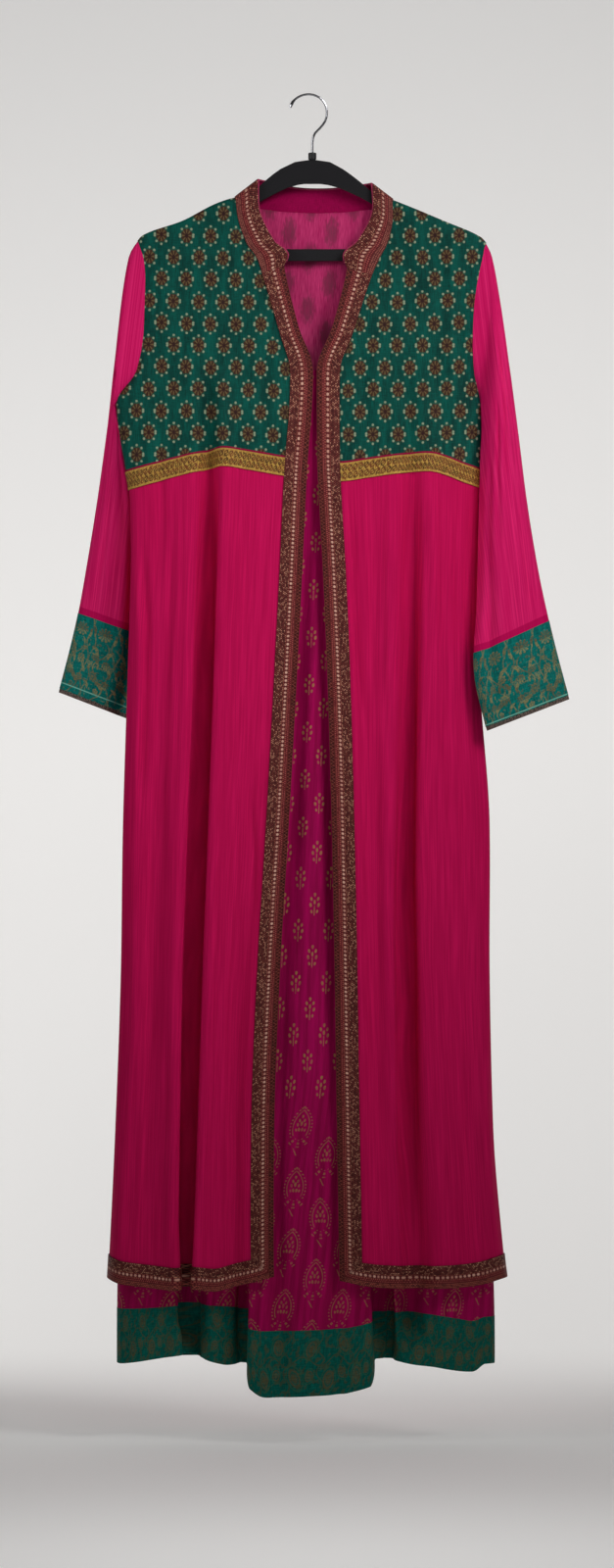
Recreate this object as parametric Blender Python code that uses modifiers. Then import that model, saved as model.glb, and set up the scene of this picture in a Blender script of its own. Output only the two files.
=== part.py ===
"""A two-layer kaftan hanging on a slim hanger.

Metres, +Z up. The origin is the inside of the top of the hook, where a rail
touches it. The front of the garment faces -Y, and the wearer's right is at -X.
Every size below is in millimetres. The cloth of each layer is one surface of
shared points, so that panels meet along seams and trims lie parallel to the
panels under them. Each piece is that surface, cut at its seams and given its
own thickness.
"""
import math

import bmesh
import bpy
from mathutils import Vector

MM = 0.001

# ---------------------------------------------------------------- sizes (mm)
CLOTH = 1.2          # wall of every cloth panel
TRIM = 1.2           # wall of the ribbons, bands and strips
SEAM = 0.3           # space between two pieces along a seam
LIFT = 0.3           # space between a panel and the trim that lies on it
RIBBON = 29.0        # width of the embroidered ribbon on collar, front and hem
STRIP = 6.6          # width of the zigzag strip on the front edges
PIPING = 2.5         # skirt cloth that shows between the yoke and its gold band
BAND = 23.0          # width of the gold band under the yoke
LACE = 5.0           # width of the lace on the cuffs
OVER = 3.5           # drop of the cloth from the shoulder seam to the arm's face
ARM_FACE = 6.8       # the coat's cloth in front of and behind the hanger
INSIDE = 2.7         # the inner dress inside the coat, at the shoulders
ROUND = 3.0          # power of the rounded section of the hanging garment

HANGER_THICK = 6.0
HOOK_WIRE = 3.0


def read(table, key, column, value):
    """The named column of a table at a value of its key, between two rows."""
    rows = sorted(table, key=lambda row: row[key])
    if value <= rows[0][key]:
        return rows[0][column]
    for low, high in zip(rows, rows[1:]):
        if value <= high[key]:
            part = (value - low[key]) / (high[key] - low[key])
            return low[column] + part * (high[column] - low[column])
    return rows[-1][column]


def between(a, b, part):
    return a + (b - a) * part


# ------------------------------------------------------- how full the cloth is
# z, how far the coat's front and back and the inner dress's front and back
# stand from the middle of the hanger
FULLNESS = [
    dict(z=-131, front=6.8, back=8.5, inner_front=4.1, inner_back=5.8),
    dict(z=-165, front=8.0, back=10.0, inner_front=5.2, inner_back=7.2),
    dict(z=-230, front=12, back=11, inner_front=9, inner_back=8),
    dict(z=-300, front=19, back=14, inner_front=16, inner_back=11),
    dict(z=-354, front=24, back=17, inner_front=20, inner_back=13),
    dict(z=-420, front=28, back=20, inner_front=23, inner_back=15),
    dict(z=-480, front=31, back=22, inner_front=26, inner_back=17),
    dict(z=-632, front=34, back=26, inner_front=28, inner_back=20),
    dict(z=-882, front=40, back=32, inner_front=33, inner_back=25),
    dict(z=-1132, front=50, back=42, inner_front=42, inner_back=34),
    dict(z=-1382, front=64, back=56, inner_front=56, inner_back=46),
    dict(z=-1517, front=72, back=64, inner_front=62, inner_back=52),
    dict(z=-1670, front=76, back=68, inner_front=66, inner_back=56),
]

# The yoke, one row for each line across it, from the shoulder seam down.
# neck: the end at the neck or at the ribbon's outer edge; arm: the end at the
# armhole or side seam, and how far it stands out; edge: the opening's edge;
# top: the collar's upper edge above that line
YOKE = {
    "right": [
        dict(line="shoulder", neck_x=-96, neck_z=-131, arm_x=-221, arm_z=-186, arm_out=0, edge_x=None, edge_z=None, top_x=-66.6, top_z=-108.5),
        dict(line="over", neck_x=-95.6, neck_z=-134.5, arm_x=-220.5, arm_z=-189.5, arm_out=6.8, edge_x=None, edge_z=None, top_x=-67, top_z=-112),
        dict(line="neck_a", neck_x=-94, neck_z=-150, arm_x=-213, arm_z=-213, arm_out=7, edge_x=None, edge_z=None, top_x=-67, top_z=-138),
        dict(line="neck_b", neck_x=-81, neck_z=-191, arm_x=-211.5, arm_z=-250, arm_out=9, edge_x=None, edge_z=None, top_x=-47, top_z=-187),
        dict(line="neck_c", neck_x=-69, neck_z=-208, arm_x=-212, arm_z=-275, arm_out=9.5, edge_x=None, edge_z=None, top_x=-29.6, top_z=-203),
        dict(line="corner", neck_x=-62, neck_z=-229, arm_x=-213, arm_z=-300, arm_out=10, edge_x=-34, edge_z=-218.5, top_x=None, top_z=None),
        dict(line="vee_a", neck_x=-39, neck_z=-307, arm_x=-222, arm_z=-352, arm_out=8, edge_x=-15, edge_z=-298, top_x=None, top_z=None),
        dict(line="vee_b", neck_x=-26, neck_z=-356, arm_x=-248, arm_z=-394, arm_out=0, edge_x=3.2, edge_z=-353, top_x=None, top_z=None),
        dict(line="seam", neck_x=None, neck_z=None, arm_x=None, arm_z=None, arm_out=0, edge_x=None, edge_z=None, top_x=None, top_z=None),
    ],
    "left": [
        dict(line="shoulder", neck_x=105, neck_z=-134, arm_x=225, arm_z=-189, arm_out=0, edge_x=None, edge_z=None, top_x=78, top_z=-113.5),
        dict(line="over", neck_x=105, neck_z=-137.5, arm_x=224.5, arm_z=-192.5, arm_out=6.8, edge_x=None, edge_z=None, top_x=79, top_z=-117),
        dict(line="neck_a", neck_x=105.5, neck_z=-153, arm_x=219, arm_z=-217, arm_out=7, edge_x=None, edge_z=None, top_x=80.5, top_z=-143),
        dict(line="neck_b", neck_x=98, neck_z=-191, arm_x=212, arm_z=-250, arm_out=9, edge_x=None, edge_z=None, top_x=61, top_z=-187),
        dict(line="neck_c", neck_x=89, neck_z=-208, arm_x=209, arm_z=-273, arm_out=9.5, edge_x=None, edge_z=None, top_x=43.5, top_z=-203.5),
        dict(line="corner", neck_x=79, neck_z=-231, arm_x=207.5, arm_z=-300, arm_out=10, edge_x=47, edge_z=-222, top_x=None, top_z=None),
        dict(line="vee_a", neck_x=54, neck_z=-307, arm_x=209, arm_z=-352, arm_out=8, edge_x=28, edge_z=-298, top_x=None, top_z=None),
        dict(line="vee_b", neck_x=37.5, neck_z=-356, arm_x=219, arm_z=-402, arm_out=0, edge_x=8.2, edge_z=-353, top_x=None, top_z=None),
        dict(line="seam", neck_x=None, neck_z=None, arm_x=None, arm_z=None, arm_out=0, edge_x=None, edge_z=None, top_x=None, top_z=None),
    ],
}
LINES = len(YOKE["right"])
SHOULDER = {  # x, z of the coat along the top of the shoulder
    "right": [dict(x=-96, z=-131), dict(x=-119, z=-138), dict(x=-162, z=-160), dict(x=-214, z=-179), dict(x=-221, z=-186)],
    "left": [dict(x=105, z=-134), dict(x=128, z=-143), dict(x=171, z=-161), dict(x=217, z=-181), dict(x=225, z=-189)],
}
YOKE_SEAM = [  # x, z of the yoke's lower seam on the front
    dict(x=-236, z=-480), dict(x=-165, z=-462), dict(x=-109, z=-450), dict(x=-33, z=-463),
    dict(x=0, z=-467), dict(x=38, z=-470), dict(x=127, z=-458), dict(x=163, z=-457),
    dict(x=185, z=-467), dict(x=218, z=-478),
]
HEM = [  # x, z of the coat's hem on the front
    dict(x=-259, z=-1513), dict(x=-246, z=-1519), dict(x=-215, z=-1522), dict(x=-180, z=-1527),
    dict(x=-160, z=-1523), dict(x=-120, z=-1527), dict(x=-46, z=-1507),
    dict(x=37, z=-1512), dict(x=82, z=-1522), dict(x=155, z=-1524), dict(x=205, z=-1522), dict(x=251, z=-1512),
]

# The front skirts: x of the opening's edge, of the deepest fold and of the side
# seam at each height
SKIRT = {
    "right": [
        dict(z=-450, edge=-2, valley=-127, side=-240),
        dict(z=-480, edge=-4.5, valley=-128, side=-236),
        dict(z=-505, edge=-5.5, valley=-129, side=-231.5),
        dict(z=-632, edge=-11.5, valley=-133, side=-229.5),
        dict(z=-882, edge=-24.5, valley=-141, side=-239),
        dict(z=-1132, edge=-39.5, valley=-151, side=-242.5),
        dict(z=-1382, edge=-48.5, valley=-157, side=-251.5),
        dict(z=-1517, edge=-46, valley=-160, side=-259),
    ],
    "left": [
        dict(z=-450, edge=8.5, valley=131, side=218),
        dict(z=-480, edge=8.8, valley=131, side=218),
        dict(z=-544, edge=12.5, valley=130, side=216),
        dict(z=-632, edge=17, valley=128, side=213),
        dict(z=-757, edge=22, valley=123, side=217),
        dict(z=-809, edge=24, valley=120, side=226),
        dict(z=-882, edge=26, valley=118, side=229),
        dict(z=-1132, edge=31, valley=122, side=229),
        dict(z=-1382, edge=34.5, valley=134, side=235),
        dict(z=-1517, edge=37, valley=141, side=251),
    ],
}
# The lines down each front, from the opening to the side seam, each placed a
# share of the way between two others
DOWN = {
    "right": [
        dict(name="a1", after="ribbon", before="valley_in", share=0.33),
        dict(name="a2", after="ribbon", before="valley_in", share=0.67),
        dict(name="valley_in", after="valley", before=None, share=14),
        dict(name="valley", after=None, before=None, share=0),
        dict(name="valley_out", after="valley", before=None, share=-14),
        dict(name="b1", after="valley_out", before="side", share=0.42),
        dict(name="b2", after="valley_out", before="side", share=0.78),
        dict(name="round", after="valley_out", before="side", share=0.95),
    ],
    "left": [
        dict(name="a1", after="ribbon", before="valley_in", share=0.5),
        dict(name="valley_in", after="valley", before=None, share=-22),
        dict(name="valley", after=None, before=None, share=0),
        dict(name="valley_out", after="valley", before=None, share=22),
        dict(name="b1", after="valley_out", before="side", share=0.35),
        dict(name="b2", after="valley_out", before="side", share=0.62),
        dict(name="b3", after="valley_out", before="side", share=0.84),
        dict(name="round", after="valley_out", before="side", share=0.96),
    ],
}
# Folds: how far a line down the front stands proud (+) or lies back (-)
FOLDS = {
    "right": [
        dict(z=-470, edge=0, a1=0, a2=0, valley_in=0, valley=0, valley_out=0, b1=0, b2=0),
        dict(z=-600, edge=1, a1=0, a2=1, valley_in=2, valley=-9, valley_out=2, b1=1, b2=0),
        dict(z=-760, edge=2, a1=-1, a2=1, valley_in=3, valley=-15, valley_out=2, b1=-2, b2=1),
        dict(z=-1000, edge=4, a1=-2, a2=1, valley_in=4, valley=-20, valley_out=3, b1=-3, b2=3),
        dict(z=-1300, edge=6, a1=-4, a2=0, valley_in=5, valley=-26, valley_out=4, b1=-3, b2=4),
        dict(z=-1530, edge=9, a1=-3, a2=1, valley_in=4, valley=-28, valley_out=5, b1=-2, b2=3),
    ],
    "left": [
        dict(z=-470, edge=0, a1=0, valley_in=0, valley=0, valley_out=0, b1=0, b2=0, b3=0),
        dict(z=-600, edge=1, a1=-4, valley_in=2, valley=-8, valley_out=1, b1=1, b2=0, b3=0),
        dict(z=-900, edge=3, a1=-2, valley_in=3, valley=-9, valley_out=0, b1=-1, b2=4, b3=0),
        dict(z=-1200, edge=5, a1=-1, valley_in=4, valley=-13, valley_out=-2, b1=-2, b2=6, b3=-2),
        dict(z=-1530, edge=9, a1=-2, valley_in=4, valley=-15, valley_out=-1, b1=-3, b2=4, b3=-2),
    ],
}
# Levels down the coat's skirts: a share of the height, or mm below or above
LEVELS = [
    dict(name="seam", share=0, plus=0),
    dict(name="band_top", share=0, plus=-PIPING),
    dict(name="band_bottom", share=0, plus=-PIPING - BAND),
    dict(name="hip", share=0.13, plus=0),
    dict(name="thigh", share=0.27, plus=0),
    dict(name="knee", share=0.44, plus=0),
    dict(name="calf", share=0.62, plus=0),
    dict(name="shin", share=0.81, plus=0),
    dict(name="ribbon_top", share=1, plus=RIBBON),
    dict(name="hem", share=1, plus=0),
]
# The inner dress below the yoke seam
INNER_LEVELS = [-560, -690, -850, -1010, -1170, -1330, -1440, -1500]
INNER_HEM = {  # x, z of the green band's top and bottom
    "front": [
        dict(x=-250, top=-1552, bottom=-1622), dict(x=-190, top=-1549, bottom=-1613),
        dict(x=-158, top=-1546, bottom=-1609), dict(x=-121, top=-1548, bottom=-1623),
        dict(x=-97, top=-1553, bottom=-1621), dict(x=-75, top=-1574, bottom=-1650),
        dict(x=-55, top=-1577, bottom=-1661), dict(x=-5, top=-1577, bottom=-1664),
        dict(x=40, top=-1573, bottom=-1656), dict(x=66, top=-1567, bottom=-1648),
        dict(x=97, top=-1555, bottom=-1611), dict(x=140, top=-1557, bottom=-1623),
        dict(x=185, top=-1561, bottom=-1628), dict(x=212, top=-1568, bottom=-1634),
        dict(x=236, top=-1562, bottom=-1622),
    ],
    "back": [
        dict(x=-250, top=-1552, bottom=-1622), dict(x=-120, top=-1560, bottom=-1632),
        dict(x=0, top=-1556, bottom=-1630), dict(x=120, top=-1562, bottom=-1634),
        dict(x=236, top=-1562, bottom=-1622),
    ],
}
INNER_FOLDS = {  # how far the inner dress's front stands out at its hem
    "right": dict(edge=72, strip=70, ribbon=62, a1=24, a2=38, valley_in=34, valley=24, valley_out=38, b1=40, b2=33),
    "left": dict(edge=72, strip=70, ribbon=62, a1=22, valley_in=36, valley=38, valley_out=41, b1=40, b2=38, b3=30),
}
INNER_MIDDLE = [  # the line down the middle of the inner front, between the two edges
    dict(z=-354, out=17), dict(z=-480, out=25), dict(z=-632, out=29), dict(z=-882, out=36),
    dict(z=-1132, out=49), dict(z=-1382, out=68), dict(z=-1530, out=80), dict(z=-1670, out=80),
]
INSET = [  # how far inside the coat's side seam the inner dress's lies
    dict(z=-394, right=4, left=4), dict(z=-480, right=9, left=6), dict(z=-560, right=6, left=6), dict(z=-882, right=6, left=6),
    dict(z=-1132, right=6, left=6), dict(z=-1517, right=12, left=16), dict(z=-1670, right=12, left=16),
]

# The back: the neck's points between the two shoulder seams
BACK_NECK = [  # x, z and how far out; top: the collar's upper edge there
    dict(x=-90, z=-136.5, out=7.2, top_x=-61, top_z=-109.5, top_out=6.8),
    dict(x=-62, z=-145, out=8.5, top_x=-40, top_z=-113, top_out=10),
    dict(x=-30, z=-149.5, out=9.6, top_x=-19, top_z=-118, top_out=12.5),
    dict(x=4.5, z=-151, out=10, top_x=5, top_z=-119.5, top_out=13.5),
    dict(x=39, z=-150, out=9.6, top_x=30, top_z=-119, top_out=12.5),
    dict(x=72, z=-146, out=8.5, top_x=53, top_z=-116, top_out=10),
    dict(x=99, z=-139.5, out=7.2, top_x=72.5, top_z=-114, top_out=6.8),
]
BACK_SHOULDER = [0, 0.06, 0.25, 0.5, 0.75]   # shares of the shoulder seam from its tip
BACK_DOWN = [0, 0.03, 0.09, 0.15, 0.21, 0.27, 0.33, 0.39, 0.45, 0.5, 0.55, 0.61, 0.67, 0.73, 0.79, 0.85, 0.91, 0.97, 1]
BACK_FALL = [0, 0.02, 0.09, 0.22, 0.3, 0.385, 0.565, 0.71, 1]  # share of the yoke's height at each line
BACK_SEAM = [dict(x=-236, z=-480), dict(x=-110, z=-470), dict(x=0, z=-466), dict(x=110, z=-469), dict(x=218, z=-478)]
BACK_HEM = [dict(x=-259, z=-1513), dict(x=-130, z=-1523), dict(x=0, z=-1518), dict(x=120, z=-1524), dict(x=251, z=-1512)]
BACK_FOLDS = [  # line across the back, where it starts, its depth at the hem
    dict(line=3, start=-620, depth=-16), dict(line=5, start=-900, depth=9),
    dict(line=7, start=-500, depth=-20), dict(line=9, start=-760, depth=8),
    dict(line=11, start=-560, depth=-22), dict(line=13, start=-980, depth=8),
    dict(line=15, start=-700, depth=-14),
]

# Sleeves: each ring's outer point, inner point, half depth, and how far its
# middle lies behind the shoulder
SLEEVE = {
    "right": [
        dict(ring="cap_a", even=0, outer_x=-233, outer_z=-207, inner_x=-253.5, inner_z=-399, half=12, back=3),
        dict(ring="cap_b", even=0.15, outer_x=-240, outer_z=-250, inner_x=-254, inner_z=-407, half=19, back=11),
        dict(ring="cap_c", even=0.35, outer_x=-248, outer_z=-315, inner_x=-253, inner_z=-419, half=24, back=22),
        dict(ring="upper", even=0.7, outer_x=-258, outer_z=-400, inner_x=-238, inner_z=-454, half=24, back=36),
        dict(ring="elbow", even=1, outer_x=-272, outer_z=-500, inner_x=-217, inner_z=-528, half=27, back=44),
        dict(ring="fore", even=1, outer_x=-288, outer_z=-600, inner_x=-208, inner_z=-628, half=22, back=47),
        dict(ring="cuff_top", even=1, outer_x=-299, outer_z=-662, inner_x=-206, inner_z=-695, half=13, back=48),
        dict(ring="cuff_bottom", even=1, outer_x=-323, outer_z=-759, inner_x=-219, inner_z=-799, half=12, back=50),
        dict(ring="lace", even=1, outer_x=-324.5, outer_z=-764, inner_x=-220.5, inner_z=-804, half=12, back=50),
    ],
    "left": [
        dict(ring="cap_a", even=0, outer_x=233, outer_z=-208, inner_x=222.5, inner_z=-408, half=12, back=-1),
        dict(ring="cap_b", even=0.15, outer_x=241, outer_z=-255, inner_x=224, inner_z=-416, half=20, back=-2),
        dict(ring="cap_c", even=0.35, outer_x=252, outer_z=-330, inner_x=225, inner_z=-430, half=28, back=-5),
        dict(ring="upper", even=0.7, outer_x=264, outer_z=-420, inner_x=223, inner_z=-470, half=31, back=-8),
        dict(ring="elbow", even=1, outer_x=276, outer_z=-515, inner_x=221, inner_z=-552, half=31, back=-14),
        dict(ring="fore", even=1, outer_x=291, outer_z=-610, inner_x=218, inner_z=-650, half=25, back=-24),
        dict(ring="cuff_top", even=1, outer_x=304, outer_z=-674, inner_x=214, inner_z=-715, half=13, back=-36),
        dict(ring="cuff_bottom", even=1, outer_x=328.5, outer_z=-769, inner_x=224.5, inner_z=-809, half=12, back=-38),
        dict(ring="lace", even=1, outer_x=330, outer_z=-774, inner_x=226, inner_z=-814, half=12, back=-38),
    ],
}

ARMHOLE_CLEAR = (0.2, 0.2, 0.2, 0.2, 0.2, 0.3, 0.8, 1.5)  # from the shoulder tip to the underarm, besides the seam

# The hanger: half outlines from its middle to its ends, x, z
HANGER_TOP = [
    dict(right_x=-3, left_x=8, z=-83), dict(right_x=-20, left_x=25, z=-85.5), dict(right_x=-38.5, left_x=41.5, z=-94.4),
    dict(right_x=-58, left_x=62, z=-109.5), dict(right_x=-80, left_x=86, z=-130), dict(right_x=-100, left_x=106, z=-146),
    dict(right_x=-125, left_x=131, z=-155), dict(right_x=-162, left_x=168, z=-168), dict(right_x=-196, left_x=201, z=-183),
    dict(right_x=-204, left_x=209, z=-190), dict(right_x=-206, left_x=211, z=-199),
    dict(right_x=-203, left_x=208, z=-208), dict(right_x=-196, left_x=201, z=-212),
]
HANGER_HOLE = [
    dict(right_x=-8, left_x=13, z=-113.2), dict(right_x=-29, left_x=36, z=-118), dict(right_x=-66, left_x=76, z=-137),
    dict(right_x=-100, left_x=106, z=-160), dict(right_x=-125, left_x=131, z=-170.5), dict(right_x=-160, left_x=166, z=-186),
    dict(right_x=-174, left_x=180, z=-193), dict(right_x=-174, left_x=180, z=-197),
]
HOOK = [  # points that the wire's middle passes through, from its tip
    dict(x=-26.0, z=-15.5), dict(x=-22.5, z=-8.0), dict(x=-16.5, z=-2.6), dict(x=-9.0, z=0.6), dict(x=-1.0, z=1.5),
    dict(x=8.0, z=-0.7), dict(x=15.5, z=-6.2), dict(x=20.0, z=-14.0), dict(x=21.0, z=-23.0), dict(x=18.8, z=-33.0),
    dict(x=12.5, z=-41.5), dict(x=5.8, z=-48.5), dict(x=2.9, z=-56.0), dict(x=2.4, z=-64.0), dict(x=2.4, z=-73.0),
]
SOCKET = dict(x=2.4, bottom=-82.6, top=-73.4, radius=5.2)

COLOURS = {  # base colour, roughness, metallic
    "chiffon": ((0.45, 0.0, 0.075), 0.75, 0.0),
    "inner": ((0.30, 0.0, 0.09), 0.75, 0.0),
    "brocade": ((0.0, 0.10, 0.075), 0.6, 0.0),
    "ribbon": ((0.17, 0.03, 0.03), 0.6, 0.1),
    "gold": ((0.40, 0.22, 0.04), 0.45, 0.4),
    "collar": ((0.19, 0.0, 0.045), 0.7, 0.0),
    "flocking": ((0.008, 0.008, 0.008), 0.95, 0.0),
    "chrome": ((0.75, 0.75, 0.77), 0.15, 1.0),
}


# ------------------------------------------------------------ the cut of cloth
def sign(side):
    return 1 if side == "left" else -1


def down_names(side):
    return ["edge", "strip", "ribbon"] + [row["name"] for row in DOWN[side]] + ["side"]


def down_x(side, name, z):
    """x of a line down the front skirt at a height."""
    s = sign(side)
    if name in ("edge", "valley", "side"):
        return read(SKIRT[side], "z", name, z)
    if name == "strip":
        return down_x(side, "edge", z) + s * STRIP
    if name == "ribbon":
        return down_x(side, "edge", z) + s * RIBBON
    row = next(r for r in DOWN[side] if r["name"] == name)
    if row["before"] is None:
        return down_x(side, "valley", z) + row["share"]
    return between(down_x(side, row["after"], z), down_x(side, row["before"], z), row["share"])


def section(x, low, high):
    """Share of the full depth at x, in a section that is rounded to nothing at its two sides."""
    part = min(1.0, abs((2 * x - low - high) / (high - low)))
    return max(0.0, 1 - part**ROUND) ** (1 / ROUND)


def fold(side, name, z):
    table = FOLDS[side]
    if name in ("strip", "ribbon"):
        name = "edge"
    return read(table, "z", name, z) if name in table[0] else 0.0


def side_x(side, z):
    return read(SKIRT[side], "z", "side", z)


def skirt_out(side, name, x, z):
    """How far the coat's front stands out at a point of the skirt."""
    wide = section(x, side_x("right", z), side_x("left", z))
    return wide * (read(FULLNESS, "z", "front", z) + fold(side, name, z))


def yoke_point(side, line, place):
    """A point of the front yoke: line is the row, place counts from the opening."""
    rows = YOKE[side]
    names = down_names(side)
    s = sign(side)
    last = len(names) - 1
    if line == LINES - 1:
        name = names[place]
        z = read(YOKE_SEAM, "x", "z", down_x(side, name, -470))
        for _ in range(3):
            x = down_x(side, name, z)
            z = read(YOKE_SEAM, "x", "z", x)
        return Vector((x, -skirt_out(side, name, x, z), z))
    row = rows[line]
    arm = (row["arm_x"], row["arm_z"])
    neck = (row["neck_x"], row["neck_z"])
    if place < 2:
        part = (RIBBON - STRIP) / RIBBON if place == 1 else 1.0
        x = between(neck[0], row["edge_x"], part)
        z = between(neck[1], row["edge_z"], part)
    else:
        even = (place - 2) / (last - 2)
        seam = [down_x(side, n, -470) for n in names]
        drawn = (seam[place] - seam[2]) / (seam[last] - seam[2])
        part = between(even, drawn, line / (LINES - 1))
        x = between(neck[0], arm[0], part)
        z = between(neck[1], arm[1], part)
        if line < 2:
            z = read(SHOULDER[side], "x", "z", x) - (OVER if line else 0)
    if line == 0:
        return Vector((x, 0, z))
    if line == 1:
        return Vector((x, -ARM_FACE, z))
    other = YOKE["left" if side == "right" else "right"][line]["arm_x"]
    wide = section(x, min(arm[0], other), max(arm[0], other))
    full = read(FULLNESS, "z", "front", z)
    return Vector((x, -(row["arm_out"] + (full - row["arm_out"]) * wide), z))


def skirt_point(side, level, place):
    name = down_names(side)[place]
    row = LEVELS[level]
    seam = yoke_point(side, LINES - 1, place)
    if level == 0:
        return seam
    hem_x = down_x(side, name, -1517)
    hem = read(HEM, "x", "z", hem_x)
    z = between(seam.z, hem, row["share"]) + row["plus"]
    x = down_x(side, name, z)
    return Vector((x, -skirt_out(side, name, x, z), z))


def back_tops():
    """The back's upper line from one shoulder tip to the other: x, z, how far out."""
    points = []
    for side, shares in (("right", BACK_SHOULDER), ("left", None)):
        tip, neck = YOKE[side][0]["arm_x"], YOKE[side][0]["neck_x"]
        if side == "right":
            for share in shares + [1]:
                x = between(tip, neck, share)
                points.append((x, read(SHOULDER[side], "x", "z", x), 0.0))
            points += [(row["x"], row["z"], row["out"]) for row in BACK_NECK]
        else:
            for share in [1] + BACK_SHOULDER[::-1]:
                x = between(tip, neck, share)
                points.append((x, read(SHOULDER[side], "x", "z", x), 0.0))
    return points


TOPS = back_tops()


def back_fold(place, z):
    for row in BACK_FOLDS:
        if row["line"] == place and z < row["start"]:
            return row["depth"] * (row["start"] - z) / (row["start"] + 1530)
    return 0.0


def back_yoke_point(line, place):
    x0, z0, out0 = TOPS[place]
    if line == 0:
        return Vector((x0, out0, z0))
    rows = YOKE["right"], YOKE["left"]
    last = LINES - 1
    if line == last:
        low = side_x("right", YOKE_SEAM[0]["z"])
        high = side_x("left", YOKE_SEAM[-1]["z"])
        x = between(low, high, BACK_DOWN[place])
        z = read(BACK_SEAM, "x", "z", x)
        wide = section(x, low, high)
        return Vector((x, wide * read(FULLNESS, "z", "back", z), z))
    low, high = rows[0][line]["arm_x"], rows[1][line]["arm_x"]
    top = (x0 - TOPS[0][0]) / (TOPS[-1][0] - TOPS[0][0])
    part = between(top, BACK_DOWN[place], line / last)
    x = between(low, high, part)
    if line == 1:
        return Vector((x0 if place not in (0, len(TOPS) - 1) else x, max(ARM_FACE, out0 + 0.6), z0 - OVER))
    seam = read(BACK_SEAM, "x", "z", x)
    z = between(z0, seam, BACK_FALL[line])
    if place == 0:
        z = rows[0][line]["arm_z"]
    if place == len(TOPS) - 1:
        z = rows[1][line]["arm_z"]
    arm_out = between(rows[0][line]["arm_out"], rows[1][line]["arm_out"], part)
    wide = section(x, low, high)
    full = read(FULLNESS, "z", "back", z)
    return Vector((x, arm_out + (full - arm_out) * wide, z))


def back_skirt_point(level, place):
    if level == 0:
        return back_yoke_point(LINES - 1, place)
    row = LEVELS[level]
    share = BACK_DOWN[place]
    seam = back_yoke_point(LINES - 1, place)
    hem = read(BACK_HEM, "x", "z", between(side_x("right", -1517), side_x("left", -1517), share))
    z = between(seam.z, hem, row["share"]) + row["plus"]
    low, high = side_x("right", z), side_x("left", z)
    x = between(low, high, share)
    out = section(x, low, high) * (read(FULLNESS, "z", "back", z) + back_fold(place, z))
    return Vector((x, out, z))


def inner_side(side, z):
    return side_x(side, z) - sign(side) * read(INSET, "z", side, z)


def inner_yoke_point(side, line, place):
    """The inner dress under the yoke: the coat's point, moved in."""
    p = yoke_point(side, line, place)
    s = sign(side)
    names = down_names(side)
    if line == LINES - 1:
        return inner_front_point(side, names[place], p.z)
    x, z = p.x, p.z
    if line < 2:
        z -= 2.3
        y = 0.0 if line == 0 else -(ARM_FACE - INSIDE)
    else:
        y = -max(-p.y - (read(FULLNESS, "z", "front", z) - read(FULLNESS, "z", "inner_front", z)), 0.0)
    if place == len(names) - 1:
        x -= s * 4
    if line == LINES - 2 and place == len(names) - 1:
        y = 0.0
    if place == 0 or (place == 2 and line < 5):
        x += s * 2.2  # behind the ribbon
    return Vector((x, y, z))


def inner_front_point(side, name, z):
    """A point of the inner dress's front at or below the yoke seam, inside the coat where the coat covers it."""
    x = down_x(side, name, z)
    if name in ("valley_out", "b1", "b2", "b3", "round", "side"):  # drawn in with the side seam
        valley = down_x(side, "valley", z)
        x -= sign(side) * read(INSET, "z", side, z) * (x - valley) / (side_x(side, z) - valley)
    if name == "side":
        return Vector((x, 0, z))
    own = section(x, inner_side("right", z), inner_side("left", z)) * read(FULLNESS, "z", "inner_front", z)
    end = INNER_FOLDS[side].get(name)
    if end is not None and z < -1100:
        own = between(own, end, min(1.0, (-1100 - z) / 440))
    if z > -1535:
        own = min(own, skirt_out(side, name, down_x(side, name, z), max(z, -1517)) - 4.5)
    return Vector((x, -max(own, 0.0), z))


def inner_skirt_point(side, level, place):
    """The inner dress's front below the yoke seam; level counts INNER_LEVELS, then the band's top and bottom."""
    name = down_names(side)[place]
    if level < len(INNER_LEVELS):
        return inner_front_point(side, name, INNER_LEVELS[level])
    column = "top" if level == len(INNER_LEVELS) else "bottom"
    hem_x = inner_side(side, -1600) if name == "side" else down_x(side, name, -1517)
    return inner_front_point(side, name, read(INNER_HEM["front"], "x", column, hem_x))


def middle_point(level):
    """The line down the middle of the inner front; level 0 is the foot of the V, 1 the yoke seam."""
    if level == 0:
        a, b = inner_yoke_point("right", LINES - 2, 0), inner_yoke_point("left", LINES - 2, 0)
    elif level == 1:
        a, b = inner_yoke_point("right", LINES - 1, 0), inner_yoke_point("left", LINES - 1, 0)
    else:
        a, b = inner_skirt_point("right", level - 2, 0), inner_skirt_point("left", level - 2, 0)
    z = (a.z + b.z) / 2
    return Vector(((a.x + b.x) / 2, -read(INNER_MIDDLE, "z", "out", z), z))


def inner_back_yoke_point(line, place):
    p = back_yoke_point(line, place)
    last = len(TOPS) - 1
    x, z = p.x, p.z
    neck = 5 < place < last - 5
    if line < 2:
        z -= 2.3
        if neck:
            y = p.y - INSIDE
        else:
            y = 0.0 if line == 0 else ARM_FACE - INSIDE
    else:
        full = read(FULLNESS, "z", "back", z)
        inner = read(FULLNESS, "z", "inner_back", z)
        y = max(p.y - (full - inner), 0.0)
    if place in (0, last):
        x += 4 if place == 0 else -4
        if line >= LINES - 2:
            y = 0.0
        if line == LINES - 1:
            x = inner_side("right" if place == 0 else "left", z)
    return Vector((x, y, z))


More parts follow.
